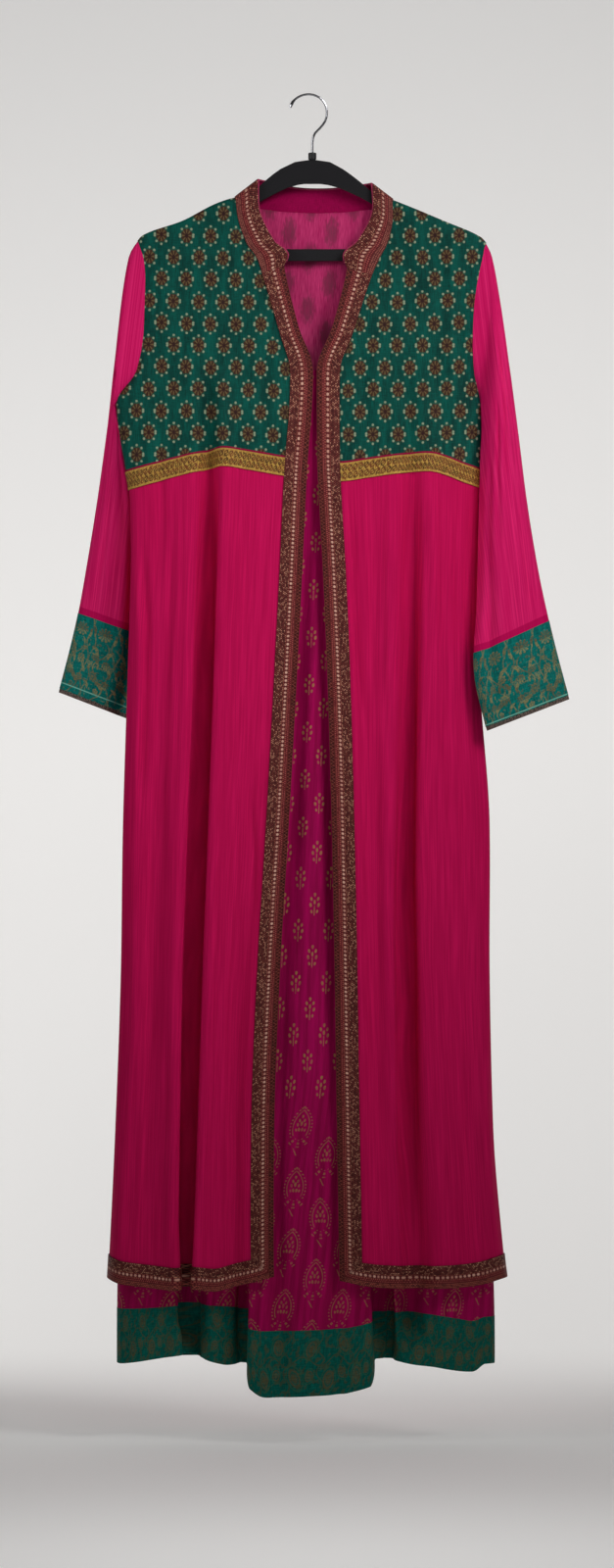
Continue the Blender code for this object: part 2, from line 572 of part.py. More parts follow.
def inner_back_skirt_point(level, place):
    share = BACK_DOWN[place]
    if level < len(INNER_LEVELS):
        z = INNER_LEVELS[level]
    else:
        column = "top" if level == len(INNER_LEVELS) else "bottom"
        hem_x = between(inner_side("right", -1600), inner_side("left", -1600), share)
        z = read(INNER_HEM["back"], "x", column, hem_x)
        if place in (0, len(TOPS) - 1):
            z = read(INNER_HEM["front"], "x", column, hem_x)
    low, high = inner_side("right", z), inner_side("left", z)
    x = between(low, high, share)
    depth = read(FULLNESS, "z", "inner_back", z)
    lift = back_fold(place, z)
    out = section(x, low, high) * depth + min(lift, lift * 0.5 if z < -1530 else lift)
    if place in (0, len(TOPS) - 1):
        out = 0.0
    return Vector((x, max(out, 0.0), z))


# ------------------------------------------------------- surfaces and pieces
class Layer:
    """One layer of the garment, as points shared along its seams and triangles marked by patch."""

    def __init__(self):
        self.points = []
        self.found = {}
        self.patches = {}

    def point(self, p):
        key = tuple(round(c, 2) for c in p)
        if key not in self.found:
            self.found[key] = len(self.points)
            self.points.append(Vector(p))
        return self.found[key]

    def patch(self, name, rows, toward, closed=False):
        """Adds a grid of points, row by row. It faces along toward or, closed into a ring, the way toward says: True if its points turn left-handed about its length."""
        grid = [[self.point(p) for p in row] for row in rows]
        quads = []
        for upper, lower in zip(grid, grid[1:]):
            wide = len(upper)
            for i in range(wide if closed else wide - 1):
                j = (i + 1) % wide
                quads.append((upper[i], upper[j], lower[j], lower[i]))
        keep = toward
        if not closed:
            total = Vector()
            for a, b, c, d in quads:
                total += (self.points[b] - self.points[a]).cross(self.points[c] - self.points[a])
            keep = total.dot(Vector(toward)) > 0
        triangles = []
        for a, b, c, d in quads:
            two = [(a, b, c), (a, c, d)]
            if closed and (self.points[a] - self.points[c]).length > (self.points[b] - self.points[d]).length:
                two = [(a, b, d), (b, c, d)]
            for t in two:
                if len(set(t)) == 3:
                    triangles.append(t if keep else (t[0], t[2], t[1]))
        self.patches.setdefault(name, []).extend(triangles)

    def normals(self):
        out = [Vector() for _ in self.points]
        for triangles in self.patches.values():
            for a, b, c in triangles:
                n = (self.points[b] - self.points[a]).cross(self.points[c] - self.points[a])
                for k in (a, b, c):
                    out[k] += n
        for k, n in enumerate(out):
            if abs(self.points[k].y) < 1e-6:
                n.y = 0.0  # on the shoulder and side seams the wall stands in the seam's plane
            n.normalize()
        return out


def wall(layer, normals, names, low, high):
    """The closed wall over some patches of a layer, from low to high out of the surface, drawn back from its edges by half a seam."""
    triangles = [t for name in names for t in layer.patches[name]]
    edges = {}
    for t in triangles:
        for a, b in zip(t, t[1:] + t[:1]):
            edges[(a, b)] = t
    rim = [(a, b) for (a, b) in edges if (b, a) not in edges]
    inward = {}
    for a, b in rim:
        pa, pb = layer.points[a], layer.points[b]
        t = edges[(a, b)]
        n = (layer.points[t[1]] - layer.points[t[0]]).cross(layer.points[t[2]] - layer.points[t[0]]).normalized()
        m = n.cross((pb - pa).normalized())
        for k in (a, b):
            inward.setdefault(k, []).append(m)
    base = {}
    for k in sorted({k for t in triangles for k in t}):
        p = layer.points[k].copy()
        if k in inward:
            ms = inward[k]
            m = sum(ms, Vector())
            scale = 1 + min(1.0, max(-0.5, ms[0].dot(ms[-1])))
            p += m * (SEAM / 2) / (scale if len(ms) > 1 else 1.0)
        base[k] = p
    mesh = bmesh.new()
    lower = {k: mesh.verts.new((p + normals[k] * low) * MM) for k, p in base.items()}
    upper = {k: mesh.verts.new((p + normals[k] * high) * MM) for k, p in base.items()}
    for a, b, c in triangles:
        mesh.faces.new((upper[a], upper[b], upper[c]))
        mesh.faces.new((lower[a], lower[c], lower[b]))
    for a, b in rim:
        mesh.faces.new((upper[b], upper[a], lower[a]))
        mesh.faces.new((upper[b], lower[a], lower[b]))
    return mesh


def material(name):
    found = bpy.data.materials.get(name)
    if found:
        return found
    colour, rough, metal = COLOURS[name]
    made = bpy.data.materials.new(name)
    made.use_nodes = True
    shader = made.node_tree.nodes["Principled BSDF"]
    shader.inputs["Base Color"].default_value = (*colour, 1)
    shader.inputs["Roughness"].default_value = rough
    shader.inputs["Metallic"].default_value = metal
    return made


def put(collection, name, data, colour):
    made = bpy.data.objects.new(name, data)
    data.materials.append(material(colour))
    collection.objects.link(made)
    return made


def piece(collection, name, mesh, colour):
    data = bpy.data.meshes.new(name)
    mesh.to_mesh(data)
    mesh.free()
    data.shade_smooth()
    data.set_sharp_from_angle(angle=math.radians(50))
    return put(collection, name, data, colour)


# ----------------------------------------------------------------- the garment
def sleeve_rings(side, armhole):
    """Rings of points down a sleeve, the first of them on the armhole. Its points start as the armhole's are spaced and even out down the arm."""
    rings = [armhole]
    count = len(armhole)
    deep = (armhole[0] - armhole[count // 2]).length
    for row in SLEEVE[side]:
        outer = Vector((row["outer_x"], 0, row["outer_z"]))
        inner = Vector((row["inner_x"], 0, row["inner_z"]))
        ring = []
        for i in range(count):
            turn = 2 * math.pi * i / count
            even = (1 - math.cos(turn)) / 2
            share = between(min(1.0, (armhole[i] - armhole[0]).length / deep), even, row["even"])
            round_y = 2 * math.sqrt(max(0.0, share * (1 - share)))
            p = outer.lerp(inner, share)
            ring.append(Vector((p.x, row["back"] - row["half"] * math.copysign(round_y, math.sin(turn)), p.z)))
        rings.append(ring)
    return rings


def coat_layer():
    coat = Layer()
    last_back = len(TOPS) - 1
    front = (0, -1, 0)
    for side in ("right", "left"):
        across = range(2, len(down_names(side)))
        coat.patch(f"front_yoke_{side}", [[yoke_point(side, line, i) for i in across] for line in range(LINES)], front)
        for name, places in (("strip", (0, 1)), ("ribbon", (1, 2))):
            coat.patch(f"{name}_yoke_{side}", [[yoke_point(side, line, i) for i in places] for line in range(5, LINES)], front)
        levels = range(len(LEVELS))
        bands = {"piping": levels[0:2], "band": levels[1:3], "skirt": levels[2:-1], "hem": levels[-2:]}
        for zone, rows in bands.items():
            coat.patch(f"{zone}_{side}", [[skirt_point(side, level, i) for i in across] for level in rows], front)
            for name, places in (("strip", (0, 1)), ("ribbon", (1, 2))):
                coat.patch(f"{name}_skirt_{side}", [[skirt_point(side, level, i) for i in places] for level in rows], front)
    back = (0, 1, 0)
    places = range(last_back + 1)
    coat.patch("back_yoke", [[back_yoke_point(line, i) for i in places] for line in range(LINES)], back)
    levels = range(len(LEVELS))
    for zone, rows in {"piping_back": levels[0:2], "band_back": levels[1:3], "skirt_back": levels[2:-1], "hem_back": levels[-2:]}.items():
        coat.patch(zone, [[back_skirt_point(level, i) for i in places] for level in rows], back)

    # collar, from one front end round the back of the neck to the other
    share = (RIBBON - STRIP) / RIBBON
    columns = []
    for side, lines in (("right", range(5, -1, -1)), ("left", range(0, 6))):
        ends = []
        for line in lines:
            row = YOKE[side][line]
            base = yoke_point(side, line, 2)
            if row["top_x"] is None:
                middle, top = yoke_point(side, line, 1), yoke_point(side, line, 0)
            else:
                out = (0, -ARM_FACE, -8.5, -11.5, -13)[line]
                top = Vector((row["top_x"], out, row["top_z"]))
                middle = base.lerp(top, share)
                if line > 1:
                    middle.y -= 0.8
            ends.append([base, middle, top])
        columns += ends
        if side == "right":
            for row, place in zip(BACK_NECK, range(6, 13)):
                base = back_yoke_point(0, place)
                top = Vector((row["top_x"], row["top_out"], row["top_z"]))
                middle = base.lerp(top, share)
                columns.append([base, middle, top])
    for a, b in zip(columns, columns[1:]):
        middle = (a[0] + b[2]) / 2
        outward = Vector((middle.x - 5.5, middle.y, 0)) if abs(middle.y) < 8 else Vector((0, middle.y, 0))
        if middle.z > -128:
            outward += Vector((0, 0, 10))
        coat.patch("collar", [[a[i] for i in range(3)], [b[i] for i in range(3)]], outward)
    return coat


def sleeve_layer():
    """Both sleeves with their cuffs, each from just outside the armhole of the front and back yoke."""
    sleeves = Layer()
    for side in ("right", "left"):
        arm = len(down_names(side)) - 1
        behind = 0 if side == "right" else len(TOPS) - 1
        lines = list(range(LINES - 1))
        hole = [yoke_point(side, line, arm) for line in lines]
        hole += [back_yoke_point(line, behind) for line in lines[-2:0:-1]]
        clear = [ARMHOLE_CLEAR[min(i, len(hole) - i)] for i in range(len(hole))]
        hole = [p + Vector((sign(side) * c, 0, 0)) for p, c in zip(hole, clear)]
        rings = sleeve_rings(side, hole)
        spans = {"sleeve": rings[:8], "cuff": rings[7:9], "lace": rings[8:]}
        for name, some in spans.items():
            for upper, lower in zip(some, some[1:]):
                sleeves.patch(f"{name}_{side}", [upper, lower], side == "left", closed=True)
    return sleeves


def inner_layer():
    inner = Layer()
    front, back = (0, -1, 0), (0, 1, 0)
    rows = len(INNER_LEVELS) + 2
    for side in ("right", "left"):
        wide = len(down_names(side))
        inner.patch("inner_front", [[inner_yoke_point(side, line, i) for i in range(2, wide)] for line in range(LINES)], front)
        inner.patch("inner_front", [[inner_yoke_point(side, line, i) for i in range(3)] for line in range(5, LINES)], front)

        def down(level, i):
            return inner_yoke_point(side, LINES - 1, i) if level < 0 else inner_skirt_point(side, level, i)

        inner.patch("inner_front", [[down(level, i) for i in range(wide)] for level in range(-1, rows - 1)], front)
        inner.patch("inner_hem_front", [[down(level, i) for i in range(wide)] for level in range(rows - 2, rows)], front)

    def across(level):
        if level == 0:
            a, b = inner_yoke_point("right", LINES - 2, 0), inner_yoke_point("left", LINES - 2, 0)
        elif level == 1:
            a, b = inner_yoke_point("right", LINES - 1, 0), inner_yoke_point("left", LINES - 1, 0)
        else:
            a, b = inner_skirt_point("right", level - 2, 0), inner_skirt_point("left", level - 2, 0)
        return [a, middle_point(level), b]

    inner.patch("inner_front", [across(level) for level in range(rows + 1)], front)
    inner.patch("inner_hem_front", [across(level) for level in range(rows, rows + 2)], front)
    places = range(len(TOPS))
    inner.patch("inner_back", [[inner_back_yoke_point(line, i) for i in places] for line in range(LINES)], back)

    def down_back(level, i):
        return inner_back_yoke_point(LINES - 1, i) if level < 0 else inner_back_skirt_point(level, i)

    inner.patch("inner_back", [[down_back(level, i) for i in places] for level in range(-1, rows - 1)], back)
    inner.patch("inner_hem_back", [[down_back(level, i) for i in places] for level in range(rows - 2, rows)], back)
    return inner


def garment(collection):
    coat = coat_layer()
    normals = coat.normals()
    half = CLOTH / 2
    on = (half + LIFT, half + LIFT + TRIM)
    for side in ("right", "left"):
        parts = {
            f"front_yoke_{side}": ([f"front_yoke_{side}", f"strip_yoke_{side}", f"ribbon_yoke_{side}"], "brocade"),
            f"front_skirt_{side}": ([f"{z}_{side}" for z in ("piping", "band", "skirt", "hem", "strip_skirt", "ribbon_skirt")], "chiffon"),
        }
        for name, (patches, colour) in parts.items():
            piece(collection, name, wall(coat, normals, patches, -half, half), colour)
        trims = {
            f"front_ribbon_{side}": ([f"ribbon_yoke_{side}", f"ribbon_skirt_{side}"], "ribbon"),
            f"edge_strip_{side}": ([f"strip_yoke_{side}", f"strip_skirt_{side}"], "gold"),
            f"yoke_band_{side}": ([f"band_{side}"], "gold"),
            f"hem_ribbon_{side}": ([f"hem_{side}"], "ribbon"),
        }
        for name, (patches, colour) in trims.items():
            piece(collection, name, wall(coat, normals, patches, *on), colour)
    piece(collection, "back_yoke", wall(coat, normals, ["back_yoke"], -half, half), "brocade")
    piece(collection, "back_skirt", wall(coat, normals, ["piping_back", "band_back", "skirt_back", "hem_back"], -half, half), "chiffon")
    piece(collection, "yoke_band_back", wall(coat, normals, ["band_back"], *on), "gold")
    piece(collection, "hem_ribbon_back", wall(coat, normals, ["hem_back"], *on), "ribbon")
    piece(collection, "collar", wall(coat, normals, ["collar"], -half, half), "collar")
    piece(collection, "collar_ribbon", wall(coat, normals, ["collar"], *on), "ribbon")

    sleeves = sleeve_layer()
    normals = sleeves.normals()
    for side in ("right", "left"):
        for name, patch, colour in (("sleeve", "sleeve", "chiffon"), ("cuff", "cuff", "brocade"), ("cuff_edging", "lace", "gold")):
            piece(collection, f"{name}_{side}", wall(sleeves, normals, [f"{patch}_{side}"], -half, half), colour)

    inner = inner_layer()
    normals = inner.normals()
    for name, colour in (("inner_front", "inner"), ("inner_back", "inner"), ("inner_hem_front", "brocade"), ("inner_hem_back", "brocade")):
        piece(collection, name, wall(inner, normals, [name], -half, half), colour)


# ------------------------------------------------------------------ the hanger
def smooth_line(points, step):
    """Points every step along a smooth curve through the given ones."""
    line = []
    for i in range(len(points) - 1):
        before = points[max(i - 1, 0)]
        a, b = points[i], points[i + 1]
        after = points[min(i + 2, len(points) - 1)]
        count = max(1, round((b - a).length / step))
        for j in range(count):
            t = j / count
            line.append(0.5 * ((2 * a) + (b - before) * t + (2 * before - 5 * a + 4 * b - after) * t * t
                               + (3 * a - before - 3 * b + after) * t * t * t))
    return line + [points[-1]]


def hanger(collection):
    curve = bpy.data.curves.new("hanger", "CURVE")
    curve.dimensions = "2D"
    curve.fill_mode = "BOTH"
    curve.extrude = HANGER_THICK / 2 * MM
    for table in (HANGER_TOP, HANGER_HOLE):
        half_r = smooth_line([Vector((row["right_x"], row["z"])) for row in table], 14)
        half_l = smooth_line([Vector((row["left_x"], row["z"])) for row in table], 14)
        outline = half_l + half_r[::-1]
        spline = curve.splines.new("POLY")
        spline.points.add(len(outline) - 1)
        for point, (x, z) in zip(spline.points, outline):
            point.co = (x * MM, z * MM, 0, 1)
        spline.use_cyclic_u = True
    body = put(collection, "hanger", curve, "flocking")
    body.rotation_euler = (math.radians(90), 0, 0)

    wire = bpy.data.curves.new("hook", "CURVE")
    wire.dimensions = "3D"
    wire.bevel_depth = HOOK_WIRE / 2 * MM
    wire.bevel_resolution = 2
    wire.use_fill_caps = True
    line = smooth_line([Vector((row["x"], 0, row["z"])) for row in HOOK], 5)
    spline = wire.splines.new("POLY")
    spline.points.add(len(line) - 1)
    for i, (point, p) in enumerate(zip(spline.points, line)):
        point.co = (*(p * MM), 1)
        point.radius = (1.0, 1.45, 1.3)[i] if i < 3 else 1.0
    put(collection, "hook", wire, "chrome")

    tall = SOCKET["top"] - SOCKET["bottom"]
    bpy.ops.mesh.primitive_cylinder_add(vertices=20, radius=SOCKET["radius"] * MM, depth=tall * MM,
                                        location=(SOCKET["x"] * MM, 0, (SOCKET["top"] + SOCKET["bottom"]) / 2 * MM))
    socket = bpy.context.object
    socket.name = socket.data.name = "hook_socket"
    for owner in list(socket.users_collection):
        owner.objects.unlink(socket)
    collection.objects.link(socket)
    socket.data.materials.append(material("flocking"))
    bevel = socket.modifiers.new("edge", "BEVEL")
    bevel.width = 0.0012
    bevel.segments = 2
    socket.data.shade_smooth()
    socket.data.set_sharp_from_angle(angle=math.radians(50))


def main():
    for old in list(bpy.data.objects):
        bpy.data.objects.remove(old)
    collection = bpy.data.collections.new("kaftan")
    bpy.context.scene.collection.children.link(collection)
    garment(collection)
    hanger(collection)


main()
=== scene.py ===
"""The looks of a two-layer kaftan on a slim hanger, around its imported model.

Sizes are in millimetres until a mesh is made, and then in metres. The cut of the
cloth is given by the same tables and points as the solids have. Smooth curves
are drawn through those points, creases are laid on them one by one, and each
piece becomes a thin closed shell with its pattern's map.
"""
import math

import bmesh
import bpy
import numpy as np
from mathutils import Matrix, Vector


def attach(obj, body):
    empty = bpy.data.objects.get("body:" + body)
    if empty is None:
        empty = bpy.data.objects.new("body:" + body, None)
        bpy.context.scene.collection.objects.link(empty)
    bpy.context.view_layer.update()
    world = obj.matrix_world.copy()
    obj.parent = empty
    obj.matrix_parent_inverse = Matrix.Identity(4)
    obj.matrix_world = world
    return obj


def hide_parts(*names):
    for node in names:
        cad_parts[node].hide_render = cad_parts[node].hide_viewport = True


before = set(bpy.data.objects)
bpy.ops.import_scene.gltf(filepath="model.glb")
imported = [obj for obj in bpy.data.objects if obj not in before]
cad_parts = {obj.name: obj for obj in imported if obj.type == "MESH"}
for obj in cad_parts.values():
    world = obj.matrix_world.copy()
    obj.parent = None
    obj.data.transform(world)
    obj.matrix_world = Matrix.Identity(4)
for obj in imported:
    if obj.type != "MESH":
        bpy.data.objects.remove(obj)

MM = 0.001

# ---------------------------------------------------------------- sizes (mm)
CLOTH = 1.2          # wall of every cloth panel
TRIM = 1.2           # wall of the ribbons, bands and strips
SEAM = 0.3           # space between two pieces along a seam
LIFT = 0.3           # space between a panel and the trim that lies on it
RIBBON = 29.0        # width of the embroidered ribbon on collar, front and hem
STRIP = 6.6          # width of the zigzag strip on the front edges
PIPING = 2.5         # skirt cloth that shows between the yoke and its gold band
BAND = 23.0          # width of the gold band under the yoke
LACE = 5.0           # width of the lace on the cuffs
OVER = 3.5           # drop of the cloth from the shoulder seam to the arm's face
ARM_FACE = 6.8       # the coat's cloth in front of and behind the hanger
INSIDE = 2.7         # the inner dress inside the coat, at the shoulders
ROUND = 3.0          # power of the rounded section of the hanging garment


def read(table, key, column, value):
    """The named column of a table at a value of its key, between two rows."""
    rows = sorted(table, key=lambda row: row[key])
    if value <= rows[0][key]:
        return rows[0][column]
    for low, high in zip(rows, rows[1:]):
        if value <= high[key]:
            part = (value - low[key]) / (high[key] - low[key])
            return low[column] + part * (high[column] - low[column])
    return rows[-1][column]


def between(a, b, part):
    return a + (b - a) * part


# ------------------------------------------------------- how full the cloth is
# z, how far the coat's front and back and the inner dress's front and back
# stand from the middle of the hanger
FULLNESS = [
    dict(z=-131, front=6.8, back=8.5, inner_front=4.1, inner_back=5.8),
    dict(z=-165, front=8.0, back=10.0, inner_front=5.2, inner_back=7.2),
    dict(z=-230, front=12, back=11, inner_front=9, inner_back=8),
    dict(z=-300, front=19, back=14, inner_front=16, inner_back=11),
    dict(z=-354, front=24, back=17, inner_front=20, inner_back=13),
    dict(z=-420, front=28, back=20, inner_front=23, inner_back=15),
    dict(z=-480, front=31, back=22, inner_front=26, inner_back=17),
    dict(z=-632, front=34, back=26, inner_front=28, inner_back=20),
    dict(z=-882, front=40, back=32, inner_front=33, inner_back=25),
    dict(z=-1132, front=50, back=42, inner_front=42, inner_back=34),
    dict(z=-1382, front=64, back=56, inner_front=56, inner_back=46),
    dict(z=-1517, front=72, back=64, inner_front=62, inner_back=52),
    dict(z=-1670, front=76, back=68, inner_front=66, inner_back=56),
]

# The yoke, one row for each line across it, from the shoulder seam down.
# neck: the end at the neck or at the ribbon's outer edge; arm: the end at the
# armhole or side seam, and how far it stands out; edge: the opening's edge;
# top: the collar's upper edge above that line
YOKE = {
    "right": [
        dict(line="shoulder", neck_x=-96, neck_z=-131, arm_x=-221, arm_z=-186, arm_out=0, edge_x=None, edge_z=None, top_x=-66.6, top_z=-108.5),
        dict(line="over", neck_x=-95.6, neck_z=-134.5, arm_x=-220.5, arm_z=-189.5, arm_out=6.8, edge_x=None, edge_z=None, top_x=-67, top_z=-112),
        dict(line="neck_a", neck_x=-94, neck_z=-150, arm_x=-213, arm_z=-213, arm_out=7, edge_x=None, edge_z=None, top_x=-67, top_z=-138),
        dict(line="neck_b", neck_x=-81, neck_z=-191, arm_x=-211.5, arm_z=-250, arm_out=9, edge_x=None, edge_z=None, top_x=-47, top_z=-187),
        dict(line="neck_c", neck_x=-69, neck_z=-208, arm_x=-212, arm_z=-275, arm_out=9.5, edge_x=None, edge_z=None, top_x=-29.6, top_z=-203),
        dict(line="corner", neck_x=-62, neck_z=-229, arm_x=-213, arm_z=-300, arm_out=10, edge_x=-34, edge_z=-218.5, top_x=None, top_z=None),
        dict(line="vee_a", neck_x=-39, neck_z=-307, arm_x=-222, arm_z=-352, arm_out=8, edge_x=-15, edge_z=-298, top_x=None, top_z=None),
        dict(line="vee_b", neck_x=-26, neck_z=-356, arm_x=-248, arm_z=-394, arm_out=0, edge_x=3.2, edge_z=-353, top_x=None, top_z=None),
        dict(line="seam", neck_x=None, neck_z=None, arm_x=None, arm_z=None, arm_out=0, edge_x=None, edge_z=None, top_x=None, top_z=None),
    ],
    "left": [
        dict(line="shoulder", neck_x=105, neck_z=-134, arm_x=225, arm_z=-189, arm_out=0, edge_x=None, edge_z=None, top_x=78, top_z=-113.5),
        dict(line="over", neck_x=105, neck_z=-137.5, arm_x=224.5, arm_z=-192.5, arm_out=6.8, edge_x=None, edge_z=None, top_x=79, top_z=-117),
        dict(line="neck_a", neck_x=105.5, neck_z=-153, arm_x=219, arm_z=-217, arm_out=7, edge_x=None, edge_z=None, top_x=80.5, top_z=-143),
        dict(line="neck_b", neck_x=98, neck_z=-191, arm_x=212, arm_z=-250, arm_out=9, edge_x=None, edge_z=None, top_x=61, top_z=-187),
        dict(line="neck_c", neck_x=89, neck_z=-208, arm_x=209, arm_z=-273, arm_out=9.5, edge_x=None, edge_z=None, top_x=43.5, top_z=-203.5),
        dict(line="corner", neck_x=79, neck_z=-231, arm_x=207.5, arm_z=-300, arm_out=10, edge_x=47, edge_z=-222, top_x=None, top_z=None),
        dict(line="vee_a", neck_x=54, neck_z=-307, arm_x=209, arm_z=-352, arm_out=8, edge_x=28, edge_z=-298, top_x=None, top_z=None),
        dict(line="vee_b", neck_x=37.5, neck_z=-356, arm_x=219, arm_z=-402, arm_out=0, edge_x=8.2, edge_z=-353, top_x=None, top_z=None),
        dict(line="seam", neck_x=None, neck_z=None, arm_x=None, arm_z=None, arm_out=0, edge_x=None, edge_z=None, top_x=None, top_z=None),
    ],
}
LINES = len(YOKE["right"])
SHOULDER = {  # x, z of the coat along the top of the shoulder
    "right": [dict(x=-96, z=-131), dict(x=-119, z=-138), dict(x=-162, z=-160), dict(x=-214, z=-179), dict(x=-221, z=-186)],
    "left": [dict(x=105, z=-134), dict(x=128, z=-143), dict(x=171, z=-161), dict(x=217, z=-181), dict(x=225, z=-189)],
}
YOKE_SEAM = [  # x, z of the yoke's lower seam on the front
    dict(x=-236, z=-480), dict(x=-165, z=-462), dict(x=-109, z=-450), dict(x=-33, z=-463),
    dict(x=0, z=-467), dict(x=38, z=-470), dict(x=127, z=-458), dict(x=163, z=-457),
    dict(x=185, z=-467), dict(x=218, z=-478),
]
HEM = [  # x, z of the coat's hem on the front
    dict(x=-259, z=-1513), dict(x=-246, z=-1519), dict(x=-215, z=-1522), dict(x=-180, z=-1527),
    dict(x=-160, z=-1523), dict(x=-120, z=-1527), dict(x=-46, z=-1507),
    dict(x=37, z=-1512), dict(x=82, z=-1522), dict(x=155, z=-1524), dict(x=205, z=-1522), dict(x=251, z=-1512),
]

# The front skirts: x of the opening's edge, of the deepest fold and of the side
# seam at each height
SKIRT = {
    "right": [
        dict(z=-450, edge=-2, valley=-127, side=-240),
        dict(z=-480, edge=-4.5, valley=-128, side=-236),
        dict(z=-505, edge=-5.5, valley=-129, side=-231.5),
        dict(z=-632, edge=-11.5, valley=-133, side=-229.5),
        dict(z=-882, edge=-24.5, valley=-141, side=-239),
        dict(z=-1132, edge=-39.5, valley=-151, side=-242.5),
        dict(z=-1382, edge=-48.5, valley=-157, side=-251.5),
        dict(z=-1517, edge=-46, valley=-160, side=-259),
    ],
    "left": [
        dict(z=-450, edge=8.5, valley=131, side=218),
        dict(z=-480, edge=8.8, valley=131, side=218),
        dict(z=-544, edge=12.5, valley=130, side=216),
        dict(z=-632, edge=17, valley=128, side=213),
        dict(z=-757, edge=22, valley=123, side=217),
        dict(z=-809, edge=24, valley=120, side=226),
        dict(z=-882, edge=26, valley=118, side=229),
        dict(z=-1132, edge=31, valley=122, side=229),
        dict(z=-1382, edge=34.5, valley=134, side=235),
        dict(z=-1517, edge=37, valley=141, side=251),
    ],
}
# The lines down each front, from the opening to the side seam, each placed a
# share of the way between two others
DOWN = {
    "right": [
        dict(name="a1", after="ribbon", before="valley_in", share=0.33),
        dict(name="a2", after="ribbon", before="valley_in", share=0.67),
        dict(name="valley_in", after="valley", before=None, share=14),
        dict(name="valley", after=None, before=None, share=0),
        dict(name="valley_out", after="valley", before=None, share=-14),
        dict(name="b1", after="valley_out", before="side", share=0.42),
        dict(name="b2", after="valley_out", before="side", share=0.78),
        dict(name="round", after="valley_out", before="side", share=0.95),
    ],
    "left": [
        dict(name="a1", after="ribbon", before="valley_in", share=0.5),
        dict(name="valley_in", after="valley", before=None, share=-22),
        dict(name="valley", after=None, before=None, share=0),
        dict(name="valley_out", after="valley", before=None, share=22),
        dict(name="b1", after="valley_out", before="side", share=0.35),
        dict(name="b2", after="valley_out", before="side", share=0.62),
        dict(name="b3", after="valley_out", before="side", share=0.84),
        dict(name="round", after="valley_out", before="side", share=0.96),
    ],
}
# Folds: how far a line down the front stands proud (+) or lies back (-)
FOLDS = {
    "right": [
        dict(z=-470, edge=0, a1=0, a2=0, valley_in=0, valley=0, valley_out=0, b1=0, b2=0),
        dict(z=-600, edge=1, a1=0, a2=1, valley_in=2, valley=-9, valley_out=2, b1=1, b2=0),
        dict(z=-760, edge=2, a1=-1, a2=1, valley_in=3, valley=-15, valley_out=2, b1=-2, b2=1),
        dict(z=-1000, edge=4, a1=-2, a2=1, valley_in=4, valley=-20, valley_out=3, b1=-3, b2=3),
        dict(z=-1300, edge=6, a1=-4, a2=0, valley_in=5, valley=-26, valley_out=4, b1=-3, b2=4),
        dict(z=-1530, edge=9, a1=-3, a2=1, valley_in=4, valley=-28, valley_out=5, b1=-2, b2=3),
    ],
    "left": [
        dict(z=-470, edge=0, a1=0, valley_in=0, valley=0, valley_out=0, b1=0, b2=0, b3=0),
        dict(z=-600, edge=1, a1=-4, valley_in=2, valley=-8, valley_out=1, b1=1, b2=0, b3=0),
        dict(z=-900, edge=3, a1=-2, valley_in=3, valley=-9, valley_out=0, b1=-1, b2=4, b3=0),
        dict(z=-1200, edge=5, a1=-1, valley_in=4, valley=-13, valley_out=-2, b1=-2, b2=6, b3=-2),
        dict(z=-1530, edge=9, a1=-2, valley_in=4, valley=-15, valley_out=-1, b1=-3, b2=4, b3=-2),
    ],
}
# Levels down the coat's skirts: a share of the height, or mm below or above
LEVELS = [
    dict(name="seam", share=0, plus=0),
    dict(name="band_top", share=0, plus=-PIPING),
    dict(name="band_bottom", share=0, plus=-PIPING - BAND),
    dict(name="hip", share=0.13, plus=0),
    dict(name="thigh", share=0.27, plus=0),
    dict(name="knee", share=0.44, plus=0),
    dict(name="calf", share=0.62, plus=0),
    dict(name="shin", share=0.81, plus=0),
    dict(name="ribbon_top", share=1, plus=RIBBON),
    dict(name="hem", share=1, plus=0),
]
# The inner dress below the yoke seam
INNER_LEVELS = [-560, -690, -850, -1010, -1170, -1330, -1440, -1500]
INNER_HEM = {  # x, z of the green band's top and bottom
    "front": [
        dict(x=-250, top=-1552, bottom=-1622), dict(x=-190, top=-1549, bottom=-1613),
        dict(x=-158, top=-1546, bottom=-1609), dict(x=-121, top=-1548, bottom=-1623),
        dict(x=-97, top=-1553, bottom=-1621), dict(x=-75, top=-1574, bottom=-1650),
        dict(x=-55, top=-1577, bottom=-1661), dict(x=-5, top=-1577, bottom=-1664),
        dict(x=40, top=-1573, bottom=-1656), dict(x=66, top=-1567, bottom=-1648),
        dict(x=97, top=-1555, bottom=-1611), dict(x=140, top=-1557, bottom=-1623),
        dict(x=185, top=-1561, bottom=-1628), dict(x=212, top=-1568, bottom=-1634),
        dict(x=236, top=-1562, bottom=-1622),
    ],
    "back": [
        dict(x=-250, top=-1552, bottom=-1622), dict(x=-120, top=-1560, bottom=-1632),
        dict(x=0, top=-1556, bottom=-1630), dict(x=120, top=-1562, bottom=-1634),
        dict(x=236, top=-1562, bottom=-1622),
    ],
}
INNER_FOLDS = {  # how far the inner dress's front stands out at its hem
    "right": dict(edge=72, strip=70, ribbon=62, a1=24, a2=38, valley_in=34, valley=24, valley_out=38, b1=40, b2=33),
    "left": dict(edge=72, strip=70, ribbon=62, a1=22, valley_in=36, valley=38, valley_out=41, b1=40, b2=38, b3=30),
}
INNER_MIDDLE = [  # the line down the middle of the inner front, between the two edges
    dict(z=-354, out=17), dict(z=-480, out=25), dict(z=-632, out=29), dict(z=-882, out=36),
    dict(z=-1132, out=49), dict(z=-1382, out=68), dict(z=-1530, out=80), dict(z=-1670, out=80),
]
